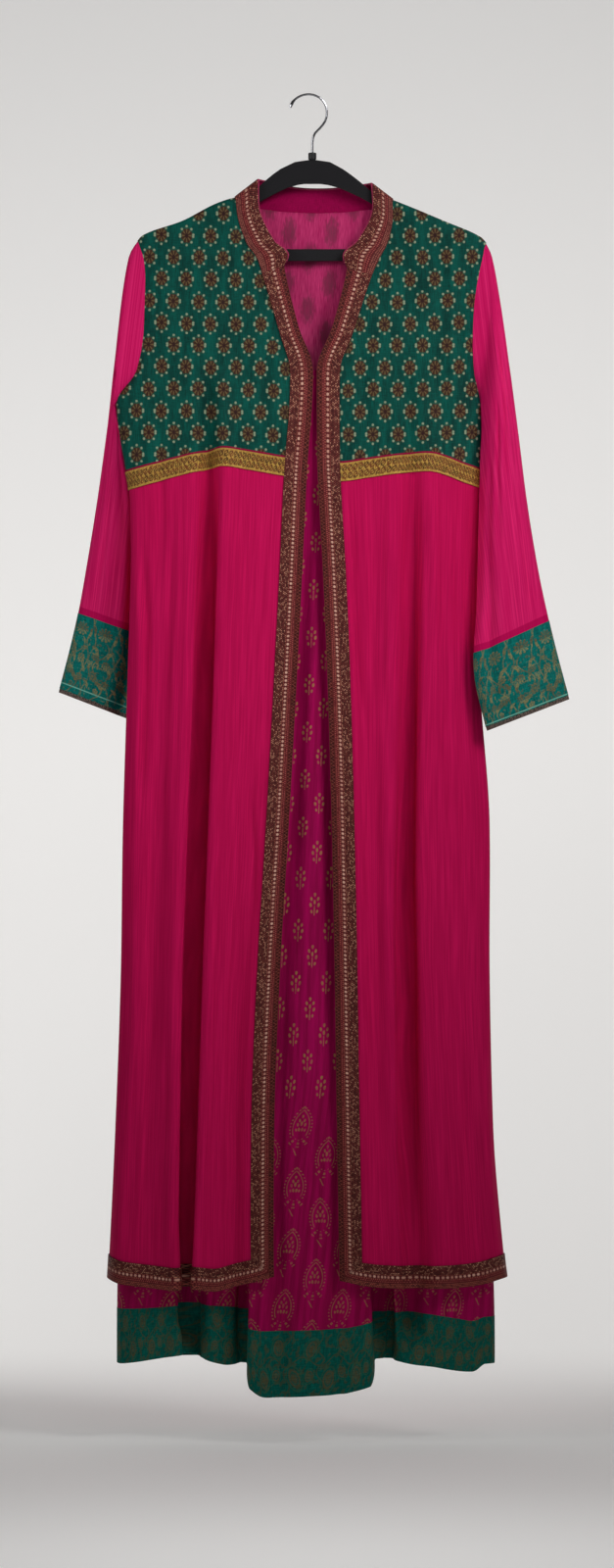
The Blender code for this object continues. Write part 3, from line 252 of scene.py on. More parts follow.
INSET = [  # how far inside the coat's side seam the inner dress's lies
    dict(z=-394, right=4, left=4), dict(z=-480, right=9, left=6), dict(z=-560, right=6, left=6), dict(z=-882, right=6, left=6),
    dict(z=-1132, right=6, left=6), dict(z=-1517, right=12, left=16), dict(z=-1670, right=12, left=16),
]

# The back: the neck's points between the two shoulder seams
BACK_NECK = [  # x, z and how far out; top: the collar's upper edge there
    dict(x=-90, z=-136.5, out=7.2, top_x=-61, top_z=-109.5, top_out=6.8),
    dict(x=-62, z=-145, out=8.5, top_x=-40, top_z=-113, top_out=10),
    dict(x=-30, z=-149.5, out=9.6, top_x=-19, top_z=-118, top_out=12.5),
    dict(x=4.5, z=-151, out=10, top_x=5, top_z=-119.5, top_out=13.5),
    dict(x=39, z=-150, out=9.6, top_x=30, top_z=-119, top_out=12.5),
    dict(x=72, z=-146, out=8.5, top_x=53, top_z=-116, top_out=10),
    dict(x=99, z=-139.5, out=7.2, top_x=72.5, top_z=-114, top_out=6.8),
]
BACK_SHOULDER = [0, 0.06, 0.25, 0.5, 0.75]   # shares of the shoulder seam from its tip
BACK_DOWN = [0, 0.03, 0.09, 0.15, 0.21, 0.27, 0.33, 0.39, 0.45, 0.5, 0.55, 0.61, 0.67, 0.73, 0.79, 0.85, 0.91, 0.97, 1]
BACK_FALL = [0, 0.02, 0.09, 0.22, 0.3, 0.385, 0.565, 0.71, 1]  # share of the yoke's height at each line
BACK_SEAM = [dict(x=-236, z=-480), dict(x=-110, z=-470), dict(x=0, z=-466), dict(x=110, z=-469), dict(x=218, z=-478)]
BACK_HEM = [dict(x=-259, z=-1513), dict(x=-130, z=-1523), dict(x=0, z=-1518), dict(x=120, z=-1524), dict(x=251, z=-1512)]
BACK_FOLDS = [  # line across the back, where it starts, its depth at the hem
    dict(line=3, start=-620, depth=-16), dict(line=5, start=-900, depth=9),
    dict(line=7, start=-500, depth=-20), dict(line=9, start=-760, depth=8),
    dict(line=11, start=-560, depth=-22), dict(line=13, start=-980, depth=8),
    dict(line=15, start=-700, depth=-14),
]

# Sleeves: each ring's outer point, inner point, half depth, and how far its
# middle lies behind the shoulder
SLEEVE = {
    "right": [
        dict(ring="cap_a", even=0, outer_x=-233, outer_z=-207, inner_x=-253.5, inner_z=-399, half=12, back=3),
        dict(ring="cap_b", even=0.15, outer_x=-240, outer_z=-250, inner_x=-254, inner_z=-407, half=19, back=11),
        dict(ring="cap_c", even=0.35, outer_x=-248, outer_z=-315, inner_x=-253, inner_z=-419, half=24, back=22),
        dict(ring="upper", even=0.7, outer_x=-258, outer_z=-400, inner_x=-238, inner_z=-454, half=24, back=36),
        dict(ring="elbow", even=1, outer_x=-272, outer_z=-500, inner_x=-217, inner_z=-528, half=27, back=44),
        dict(ring="fore", even=1, outer_x=-288, outer_z=-600, inner_x=-208, inner_z=-628, half=22, back=47),
        dict(ring="cuff_top", even=1, outer_x=-299, outer_z=-662, inner_x=-206, inner_z=-695, half=13, back=48),
        dict(ring="cuff_bottom", even=1, outer_x=-323, outer_z=-759, inner_x=-219, inner_z=-799, half=12, back=50),
        dict(ring="lace", even=1, outer_x=-324.5, outer_z=-764, inner_x=-220.5, inner_z=-804, half=12, back=50),
    ],
    "left": [
        dict(ring="cap_a", even=0, outer_x=233, outer_z=-208, inner_x=222.5, inner_z=-408, half=12, back=-1),
        dict(ring="cap_b", even=0.15, outer_x=241, outer_z=-255, inner_x=224, inner_z=-416, half=20, back=-2),
        dict(ring="cap_c", even=0.35, outer_x=252, outer_z=-330, inner_x=225, inner_z=-430, half=28, back=-5),
        dict(ring="upper", even=0.7, outer_x=264, outer_z=-420, inner_x=223, inner_z=-470, half=31, back=-8),
        dict(ring="elbow", even=1, outer_x=276, outer_z=-515, inner_x=221, inner_z=-552, half=31, back=-14),
        dict(ring="fore", even=1, outer_x=291, outer_z=-610, inner_x=218, inner_z=-650, half=25, back=-24),
        dict(ring="cuff_top", even=1, outer_x=304, outer_z=-674, inner_x=214, inner_z=-715, half=13, back=-36),
        dict(ring="cuff_bottom", even=1, outer_x=328.5, outer_z=-769, inner_x=224.5, inner_z=-809, half=12, back=-38),
        dict(ring="lace", even=1, outer_x=330, outer_z=-774, inner_x=226, inner_z=-814, half=12, back=-38),
    ],
}

ARMHOLE_CLEAR = (0.2, 0.2, 0.2, 0.2, 0.2, 0.3, 0.8, 1.5)  # from the shoulder tip to the underarm, besides the seam


# ------------------------------------------------------------ the cut of cloth
def sign(side):
    return 1 if side == "left" else -1


def down_names(side):
    return ["edge", "strip", "ribbon"] + [row["name"] for row in DOWN[side]] + ["side"]


def down_x(side, name, z):
    """x of a line down the front skirt at a height."""
    s = sign(side)
    if name in ("edge", "valley", "side"):
        return read(SKIRT[side], "z", name, z)
    if name == "strip":
        return down_x(side, "edge", z) + s * STRIP
    if name == "ribbon":
        return down_x(side, "edge", z) + s * RIBBON
    row = next(r for r in DOWN[side] if r["name"] == name)
    if row["before"] is None:
        return down_x(side, "valley", z) + row["share"]
    return between(down_x(side, row["after"], z), down_x(side, row["before"], z), row["share"])


def section(x, low, high):
    """Share of the full depth at x, in a section that is rounded to nothing at its two sides."""
    part = min(1.0, abs((2 * x - low - high) / (high - low)))
    return max(0.0, 1 - part**ROUND) ** (1 / ROUND)


def fold(side, name, z):
    table = FOLDS[side]
    if name in ("strip", "ribbon"):
        name = "edge"
    return read(table, "z", name, z) if name in table[0] else 0.0


def side_x(side, z):
    return read(SKIRT[side], "z", "side", z)


def skirt_out(side, name, x, z):
    """How far the coat's front stands out at a point of the skirt."""
    wide = section(x, side_x("right", z), side_x("left", z))
    return wide * (read(FULLNESS, "z", "front", z) + fold(side, name, z))


def yoke_point(side, line, place):
    """A point of the front yoke: line is the row, place counts from the opening."""
    rows = YOKE[side]
    names = down_names(side)
    s = sign(side)
    last = len(names) - 1
    if line == LINES - 1:
        name = names[place]
        z = read(YOKE_SEAM, "x", "z", down_x(side, name, -470))
        for _ in range(3):
            x = down_x(side, name, z)
            z = read(YOKE_SEAM, "x", "z", x)
        return Vector((x, -skirt_out(side, name, x, z), z))
    row = rows[line]
    arm = (row["arm_x"], row["arm_z"])
    neck = (row["neck_x"], row["neck_z"])
    if place < 2:
        part = (RIBBON - STRIP) / RIBBON if place == 1 else 1.0
        x = between(neck[0], row["edge_x"], part)
        z = between(neck[1], row["edge_z"], part)
    else:
        even = (place - 2) / (last - 2)
        seam = [down_x(side, n, -470) for n in names]
        drawn = (seam[place] - seam[2]) / (seam[last] - seam[2])
        part = between(even, drawn, line / (LINES - 1))
        x = between(neck[0], arm[0], part)
        z = between(neck[1], arm[1], part)
        if line < 2:
            z = read(SHOULDER[side], "x", "z", x) - (OVER if line else 0)
    if line == 0:
        return Vector((x, 0, z))
    if line == 1:
        return Vector((x, -ARM_FACE, z))
    other = YOKE["left" if side == "right" else "right"][line]["arm_x"]
    wide = section(x, min(arm[0], other), max(arm[0], other))
    full = read(FULLNESS, "z", "front", z)
    return Vector((x, -(row["arm_out"] + (full - row["arm_out"]) * wide), z))


def skirt_point(side, level, place):
    name = down_names(side)[place]
    row = LEVELS[level]
    seam = yoke_point(side, LINES - 1, place)
    if level == 0:
        return seam
    hem_x = down_x(side, name, -1517)
    hem = read(HEM, "x", "z", hem_x)
    z = between(seam.z, hem, row["share"]) + row["plus"]
    x = down_x(side, name, z)
    return Vector((x, -skirt_out(side, name, x, z), z))


def back_tops():
    """The back's upper line from one shoulder tip to the other: x, z, how far out."""
    points = []
    for side, shares in (("right", BACK_SHOULDER), ("left", None)):
        tip, neck = YOKE[side][0]["arm_x"], YOKE[side][0]["neck_x"]
        if side == "right":
            for share in shares + [1]:
                x = between(tip, neck, share)
                points.append((x, read(SHOULDER[side], "x", "z", x), 0.0))
            points += [(row["x"], row["z"], row["out"]) for row in BACK_NECK]
        else:
            for share in [1] + BACK_SHOULDER[::-1]:
                x = between(tip, neck, share)
                points.append((x, read(SHOULDER[side], "x", "z", x), 0.0))
    return points


TOPS = back_tops()


def back_fold(place, z):
    for row in BACK_FOLDS:
        if row["line"] == place and z < row["start"]:
            return row["depth"] * (row["start"] - z) / (row["start"] + 1530)
    return 0.0


def back_yoke_point(line, place):
    x0, z0, out0 = TOPS[place]
    if line == 0:
        return Vector((x0, out0, z0))
    rows = YOKE["right"], YOKE["left"]
    last = LINES - 1
    if line == last:
        low = side_x("right", YOKE_SEAM[0]["z"])
        high = side_x("left", YOKE_SEAM[-1]["z"])
        x = between(low, high, BACK_DOWN[place])
        z = read(BACK_SEAM, "x", "z", x)
        wide = section(x, low, high)
        return Vector((x, wide * read(FULLNESS, "z", "back", z), z))
    low, high = rows[0][line]["arm_x"], rows[1][line]["arm_x"]
    top = (x0 - TOPS[0][0]) / (TOPS[-1][0] - TOPS[0][0])
    part = between(top, BACK_DOWN[place], line / last)
    x = between(low, high, part)
    if line == 1:
        return Vector((x0 if place not in (0, len(TOPS) - 1) else x, max(ARM_FACE, out0 + 0.6), z0 - OVER))
    seam = read(BACK_SEAM, "x", "z", x)
    z = between(z0, seam, BACK_FALL[line])
    if place == 0:
        z = rows[0][line]["arm_z"]
    if place == len(TOPS) - 1:
        z = rows[1][line]["arm_z"]
    arm_out = between(rows[0][line]["arm_out"], rows[1][line]["arm_out"], part)
    wide = section(x, low, high)
    full = read(FULLNESS, "z", "back", z)
    return Vector((x, arm_out + (full - arm_out) * wide, z))


def back_skirt_point(level, place):
    if level == 0:
        return back_yoke_point(LINES - 1, place)
    row = LEVELS[level]
    share = BACK_DOWN[place]
    seam = back_yoke_point(LINES - 1, place)
    hem = read(BACK_HEM, "x", "z", between(side_x("right", -1517), side_x("left", -1517), share))
    z = between(seam.z, hem, row["share"]) + row["plus"]
    low, high = side_x("right", z), side_x("left", z)
    x = between(low, high, share)
    out = section(x, low, high) * (read(FULLNESS, "z", "back", z) + back_fold(place, z))
    return Vector((x, out, z))


def inner_side(side, z):
    return side_x(side, z) - sign(side) * read(INSET, "z", side, z)


def inner_yoke_point(side, line, place):
    """The inner dress under the yoke: the coat's point, moved in."""
    p = yoke_point(side, line, place)
    s = sign(side)
    names = down_names(side)
    if line == LINES - 1:
        return inner_front_point(side, names[place], p.z)
    x, z = p.x, p.z
    if line < 2:
        z -= 2.3
        y = 0.0 if line == 0 else -(ARM_FACE - INSIDE)
    else:
        y = -max(-p.y - (read(FULLNESS, "z", "front", z) - read(FULLNESS, "z", "inner_front", z)), 0.0)
    if place == len(names) - 1:
        x -= s * 4
    if line == LINES - 2 and place == len(names) - 1:
        y = 0.0
    if place == 0 or (place == 2 and line < 5):
        x += s * 2.2  # behind the ribbon
    return Vector((x, y, z))


def inner_front_point(side, name, z):
    """A point of the inner dress's front at or below the yoke seam, inside the coat where the coat covers it."""
    x = down_x(side, name, z)
    if name in ("valley_out", "b1", "b2", "b3", "round", "side"):  # drawn in with the side seam
        valley = down_x(side, "valley", z)
        x -= sign(side) * read(INSET, "z", side, z) * (x - valley) / (side_x(side, z) - valley)
    if name == "side":
        return Vector((x, 0, z))
    own = section(x, inner_side("right", z), inner_side("left", z)) * read(FULLNESS, "z", "inner_front", z)
    end = INNER_FOLDS[side].get(name)
    if end is not None and z < -1100:
        own = between(own, end, min(1.0, (-1100 - z) / 440))
    if z > -1535:
        own = min(own, skirt_out(side, name, down_x(side, name, z), max(z, -1517)) - 4.5)
    return Vector((x, -max(own, 0.0), z))


def inner_skirt_point(side, level, place):
    """The inner dress's front below the yoke seam; level counts INNER_LEVELS, then the band's top and bottom."""
    name = down_names(side)[place]
    if level < len(INNER_LEVELS):
        return inner_front_point(side, name, INNER_LEVELS[level])
    column = "top" if level == len(INNER_LEVELS) else "bottom"
    hem_x = inner_side(side, -1600) if name == "side" else down_x(side, name, -1517)
    return inner_front_point(side, name, read(INNER_HEM["front"], "x", column, hem_x))


def middle_point(level):
    """The line down the middle of the inner front; level 0 is the foot of the V, 1 the yoke seam."""
    if level == 0:
        a, b = inner_yoke_point("right", LINES - 2, 0), inner_yoke_point("left", LINES - 2, 0)
    elif level == 1:
        a, b = inner_yoke_point("right", LINES - 1, 0), inner_yoke_point("left", LINES - 1, 0)
    else:
        a, b = inner_skirt_point("right", level - 2, 0), inner_skirt_point("left", level - 2, 0)
    z = (a.z + b.z) / 2
    return Vector(((a.x + b.x) / 2, -read(INNER_MIDDLE, "z", "out", z), z))


def inner_back_yoke_point(line, place):
    p = back_yoke_point(line, place)
    last = len(TOPS) - 1
    x, z = p.x, p.z
    neck = 5 < place < last - 5
    if line < 2:
        z -= 2.3
        if neck:
            y = p.y - INSIDE
        else:
            y = 0.0 if line == 0 else ARM_FACE - INSIDE
    else:
        full = read(FULLNESS, "z", "back", z)
        inner = read(FULLNESS, "z", "inner_back", z)
        y = max(p.y - (full - inner), 0.0)
    if place in (0, last):
        x += 4 if place == 0 else -4
        if line >= LINES - 2:
            y = 0.0
        if line == LINES - 1:
            x = inner_side("right" if place == 0 else "left", z)
    return Vector((x, y, z))


def inner_back_skirt_point(level, place):
    share = BACK_DOWN[place]
    if level < len(INNER_LEVELS):
        z = INNER_LEVELS[level]
    else:
        column = "top" if level == len(INNER_LEVELS) else "bottom"
        hem_x = between(inner_side("right", -1600), inner_side("left", -1600), share)
        z = read(INNER_HEM["back"], "x", column, hem_x)
        if place in (0, len(TOPS) - 1):
            z = read(INNER_HEM["front"], "x", column, hem_x)
    low, high = inner_side("right", z), inner_side("left", z)
    x = between(low, high, share)
    depth = read(FULLNESS, "z", "inner_back", z)
    lift = back_fold(place, z)
    out = section(x, low, high) * depth + min(lift, lift * 0.5 if z < -1530 else lift)
    if place in (0, len(TOPS) - 1):
        out = 0.0
    return Vector((x, max(out, 0.0), z))


# ------------------------------------------------------- smooth, dense cloth
# How many steps each space between two lines of the cut is divided into
LINE_CELLS = [4, 3, 5, 3, 3, 9, 6, 12]
LEVEL_CELLS = [1, 3, 13, 16, 19, 20, 21, 18, 4]
COAT_ROWS = LINE_CELLS + LEVEL_CELLS
INNER_ROWS = LINE_CELLS + [8, 11, 13, 13, 13, 14, 11, 6, 7, 8]
ACROSS = {
    "right": [2, 9, 12, 13, 12, 10, 10, 16, 14, 9, 8],
    "left": [2, 9, 15, 16, 12, 12, 11, 10, 9, 8, 8],
}
ACROSS_BACK = [6, 6, 8, 8, 8, 8, 8, 8, 7, 7, 8, 8, 8, 8, 8, 8, 6, 6]
ACROSS_INNER_MIDDLE = 11
ROUND_ARM = [4, 5, 6, 5, 5, 8, 7, 7, 8, 5, 5, 6, 5, 4]
DOWN_ARM = [3, 4, 6, 9, 11, 11, 7, 12, 1]

# Creases of the coat: on which face, points that one runs through (x, z), how
# wide and how deep it is, and how far its ends fade. Minus is a ridge
CREASES = [
    # the wearer's right front
    dict(face="front", path=[(-215, -565), (-209, -690), (-212, -800), (-216, -900)], wide=5.0, deep=4.5, fade=70),
    dict(face="front", path=[(-221, -600), (-218, -720), (-224, -960)], wide=4.0, deep=-2.5, fade=90),
    dict(face="front", path=[(-84, -548), (-83, -620), (-86, -700)], wide=3.2, deep=2.2, fade=50),
    dict(face="front", path=[(-63, -545), (-66, -640), (-72, -760)], wide=5.0, deep=-1.6, fade=80),
    dict(face="front", path=[(-77, -900), (-71, -975), (-74, -1080)], wide=4.5, deep=3.2, fade=70),
    dict(face="front", path=[(-104, -520), (-108, -700), (-116, -980), (-121, -1250)], wide=5.5, deep=1.9, fade=120),
    dict(face="front", path=[(-176, -500), (-178, -640), (-186, -840), (-190, -1040)], wide=4.6, deep=2.4, fade=120),
    dict(face="front", path=[(-190, -660), (-197, -900), (-205, -1200), (-212, -1440)], wide=7.0, deep=2.6, fade=150),
    dict(face="front", path=[(-161, -520), (-165, -700), (-172, -900)], wide=3.4, deep=1.5, fade=90),
    dict(face="front", path=[(-232, -980), (-234, -1160), (-239, -1400)], wide=5.0, deep=2.6, fade=120),
    dict(face="front", path=[(-96, -1080), (-100, -1240), (-99, -1440)], wide=8.0, deep=2.2, fade=120),
    dict(face="front", path=[(-52, -640), (-58, -800), (-64, -1000)], wide=3.2, deep=1.6, fade=90),
    dict(face="front", path=[(-180, -1180), (-184, -1320), (-190, -1490)], wide=5.5, deep=2.4, fade=90),
    dict(face="front", path=[(-222, -1230), (-228, -1380), (-236, -1500)], wide=6.0, deep=2.8, fade=90),
    # the wearer's left front
    dict(face="front", path=[(52, -505), (55, -600), (59, -700), (66, -800)], wide=5.5, deep=5.0, fade=90),
    dict(face="front", path=[(70, -520), (71, -640), (75, -790), (80, -900)], wide=6.0, deep=-2.4, fade=110),
    dict(face="front", path=[(92, -500), (93, -640), (97, -860)], wide=4.0, deep=1.9, fade=110),
    dict(face="front", path=[(84, -820), (88, -1010), (90, -1200)], wide=6.0, deep=2.2, fade=130),
    dict(face="front", path=[(108, -990), (110, -1130), (114, -1300), (113, -1480)], wide=7.0, deep=3.6, fade=120),
    dict(face="front", path=[(148, -490), (150, -640), (152, -800)], wide=3.8, deep=1.8, fade=90),
    dict(face="front", path=[(167, -520), (170, -700), (176, -980)], wide=5.0, deep=2.2, fade=120),
    dict(face="front", path=[(186, -560), (189, -760), (197, -1060), (203, -1300)], wide=5.6, deep=2.6, fade=130),
    dict(face="front", path=[(198, -570), (199, -700), (205, -880)], wide=3.2, deep=2.6, fade=80),
    dict(face="front", path=[(207, -580), (208, -700), (215, -900), (219, -1080)], wide=3.4, deep=2.8, fade=90),
    dict(face="front", path=[(216, -780), (222, -960), (222, -1150)], wide=3.2, deep=2.0, fade=90),
    dict(face="front", path=[(60, -1180), (64, -1330), (70, -1490)], wide=7.5, deep=2.6, fade=90),
    dict(face="front", path=[(154, -960), (160, -1150), (172, -1420)], wide=8.0, deep=-2.2, fade=140),
    dict(face="front", path=[(188, -1240), (196, -1380), (206, -1500)], wide=6.5, deep=2.8, fade=90),
    dict(face="front", path=[(231, -1240), (238, -1390), (244, -1500)], wide=5.0, deep=2.2, fade=80),
    # the back
    dict(face="back", path=[(-196, -540), (-203, -800), (-214, -1180)], wide=5.5, deep=3.0, fade=130),
    dict(face="back", path=[(-166, -500), (-170, -680), (-172, -900)], wide=4.0, deep=2.0, fade=100),
    dict(face="back", path=[(-132, -520), (-140, -840), (-148, -1240), (-150, -1480)], wide=7.5, deep=3.2, fade=150),
    dict(face="back", path=[(-104, -560), (-108, -760), (-106, -980)], wide=4.4, deep=-2.0, fade=110),
    dict(face="back", path=[(-78, -500), (-82, -760), (-90, -1100)], wide=5.0, deep=2.6, fade=140),
    dict(face="back", path=[(-52, -640), (-56, -900), (-54, -1200), (-60, -1490)], wide=8.0, deep=3.4, fade=150),
    dict(face="back", path=[(-24, -500), (-24, -700), (-28, -900)], wide=4.2, deep=1.9, fade=100),
    dict(face="back", path=[(6, -520), (8, -880), (4, -1240)], wide=6.0, deep=2.8, fade=160),
    dict(face="back", path=[(28, -760), (32, -1000), (36, -1300), (34, -1490)], wide=6.5, deep=-2.4, fade=120),
    dict(face="back", path=[(52, -500), (56, -740), (60, -1020)], wide=4.8, deep=2.6, fade=130),
    dict(face="back", path=[(86, -560), (92, -900), (100, -1300), (98, -1490)], wide=7.5, deep=3.2, fade=150),
    dict(face="back", path=[(118, -500), (120, -680), (126, -860)], wide=4.0, deep=2.1, fade=100),
    dict(face="back", path=[(142, -620), (150, -940), (158, -1340)], wide=6.0, deep=2.8, fade=150),
    dict(face="back", path=[(176, -520), (182, -800), (196, -1160)], wide=5.0, deep=2.8, fade=130),
    dict(face="back", path=[(204, -760), (214, -1100), (224, -1460)], wide=5.5, deep=2.4, fade=130),
]
# Deep folds that run on from the yoke down the skirt
LONG_FOLDS = [
    dict(face="front", path=[(-131, -350), (-130, -420), (-129, -500), (-132, -620), (-137, -760), (-143, -900), (-151, -1130), (-158, -1440), (-158, -1500), (-158, -1610)], wide=[7.0, 9.0, 11.0, 11.5, 11.5, 11.5, 11.0, 8.5, 6.5, 6.0], deep=[5.5, 11.0, 15.0, 16.5, 16.5, 16.0, 16.0, 16.0, 15.0, 15.0], fade=26),
    dict(face="front", path=[(124, -360), (128, -450), (130, -560), (129, -700), (127, -820), (125, -1000), (128, -1140), (128, -1390), (129, -1600)], wide=[8.0, 9.0, 12.0, 13.0, 15.0, 17.0, 18.0, 18.0, 15.0], deep=[2.0, 5.5, 9.0, 10.0, 10.0, 10.0, 10.0, 10.0, 9.0], fade=26),
    dict(face="front", path=[(131, -640), (128, -740), (124, -860), (121, -1000), (123, -1140), (124, -1390), (125, -1600)], wide=[6.0, 7.5, 8.5, 9.0, 9.0, 8.0, 6.0], deep=[1.5, 6.0, 10.5, 12.0, 12.0, 10.5, 6.0], fade=40),
    dict(face="front", path=[(-196, -380), (-193, -450), (-190, -540), (-197, -640)], wide=7.0, deep=[1.5, 3.2, 3.0, 1.0], fade=26),
    dict(face="back", path=[(-168, -430), (-172, -560), (-176, -760), (-186, -1050), (-196, -1330), (-200, -1600)], wide=[8.0, 10.0, 12.0, 13.0, 13.0, 12.0], deep=[1.5, 4.5, 7.0, 8.5, 9.0, 8.0], fade=30),
    dict(face="back", path=[(-58, -500), (-62, -640), (-70, -900), (-66, -1200), (-72, -1600)], wide=[9.0, 11.0, 13.0, 14.0, 14.0], deep=[1.5, 4.0, 6.0, 6.5, 7.0], fade=40),
    dict(face="back", path=[(44, -430), (42, -540), (34, -760), (38, -1100), (30, -1600)], wide=[8.0, 9.0, 12.0, 14.0, 13.0], deep=[1.0, 3.5, 6.5, 8.0, 8.0], fade=30),
    dict(face="back", path=[(138, -470), (144, -620), (140, -860), (152, -1180), (158, -1600)], wide=[8.0, 9.0, 11.0, 12.0, 12.0], deep=[2.0, 5.0, 7.5, 9.0, 9.5], fade=30),
]
# Creases of the yokes: as above
YOKE_CREASES = [
    dict(face="front", path=[(-150, -170), (-160, -215), (-176, -262)], wide=9, deep=1.4, fade=40),
    dict(face="front", path=[(-118, -190), (-122, -260), (-132, -340)], wide=8, deep=0.9, fade=50),
    dict(face="front", path=[(-200, -240), (-196, -300), (-206, -372)], wide=6, deep=2.2, fade=40),
    dict(face="front", path=[(-52, -300), (-58, -370), (-64, -450)], wide=7, deep=1.1, fade=50),
    dict(face="front", path=[(-170, -360), (-178, -410), (-190, -450)], wide=10, deep=1.4, fade=40),
    dict(face="front", path=[(150, -176), (163, -224), (178, -275)], wide=9, deep=1.5, fade=40),
    dict(face="front", path=[(122, -200), (126, -262), (130, -330)], wide=8, deep=0.9, fade=50),
    dict(face="front", path=[(196, -240), (192, -300), (196, -380)], wide=6, deep=2.2, fade=40),
    dict(face="front", path=[(66, -300), (68, -370), (74, -450)], wide=7, deep=1.2, fade=50),
    dict(face="front", path=[(160, -350), (168, -400), (176, -448)], wide=9, deep=1.3, fade=40),
    dict(face="back", path=[(-150, -180), (-120, -240), (-80, -300)], wide=11, deep=1.8, fade=60),
    dict(face="back", path=[(152, -185), (126, -246), (90, -306)], wide=11, deep=1.8, fade=60),
    dict(face="back", path=[(-190, -250), (-184, -330), (-190, -420)], wide=8, deep=2.0, fade=60),
    dict(face="back", path=[(186, -256), (180, -330), (184, -420)], wide=8, deep=2.0, fade=60),
    dict(face="back", path=[(-40, -320), (-36, -400), (-40, -465)], wide=9, deep=1.6, fade=50),
    dict(face="back", path=[(52, -310), (50, -390), (56, -465)], wide=9, deep=1.6, fade=50),
]
# Where the sides of the inner hem's middle fold stand: x before and after
FOLD_SIDES = ((-500, -150, -128, -104, -74, -52, 50, 66, 80, 98, 122, 150, 500), (-500, -150, -118, -86, -77, -60, 58, 76, 82, 88, 112, 150, 500))
# Creases of the inner dress where it shows below the coat and in its opening
INNER_CREASES = [
    dict(face="front", path=[(-12, -900), (-14, -1120), (-22, -1330)], wide=9, deep=1.6, fade=120),
    dict(face="front", path=[(16, -1060), (20, -1260), (22, -1480), (25, -1640)], wide=10, deep=2.2, fade=120),
    dict(face="front", path=[(-34, -1250), (-40, -1420), (-38, -1600), (-36, -1640)], wide=9, deep=2.0, fade=90),
    dict(face="front", path=[(-84, -1470), (-86, -1560), (-87, -1640)], wide=7, deep=12.0, fade=60),
    dict(face="front", path=[(-104, -1500), (-106, -1580), (-108, -1640)], wide=16, deep=7.0, fade=50),
    dict(face="front", path=[(-144, -1490), (-145, -1560), (-146, -1640)], wide=12, deep=20.0, fade=40),
    dict(face="front", path=[(-182, -1500), (-184, -1570), (-186, -1630)], wide=8, deep=3.0, fade=50),
    dict(face="front", path=[(-214, -1490), (-216, -1570), (-218, -1630)], wide=10, deep=-3.0, fade=50),
    dict(face="front", path=[(91, -1480), (94, -1550), (97, -1640)], wide=12, deep=19.0, fade=50),
    dict(face="front", path=[(126, -1500), (128, -1580), (130, -1630)], wide=10, deep=-3.5, fade=50),
    dict(face="front", path=[(152, -1500), (156, -1570), (160, -1630)], wide=7, deep=2.5, fade=50),
    dict(face="front", path=[(192, -1500), (196, -1580), (200, -1640)], wide=9, deep=3.5, fade=50),
    dict(face="back", path=[(-170, -1490), (-172, -1570), (-174, -1630)], wide=10, deep=3.5, fade=50),
    dict(face="back", path=[(-96, -1480), (-98, -1570), (-99, -1630)], wide=9, deep=3.0, fade=50),
    dict(face="back", path=[(-30, -1490), (-28, -1570), (-30, -1630)], wide=10, deep=3.5, fade=50),
    dict(face="back", path=[(48, -1480), (50, -1570), (50, -1630)], wide=9, deep=3.0, fade=50),
    dict(face="back", path=[(120, -1490), (122, -1570), (124, -1630)], wide=10, deep=3.8, fade=50),
    dict(face="back", path=[(184, -1480), (188, -1570), (190, -1630)], wide=9, deep=2.8, fade=50),
]
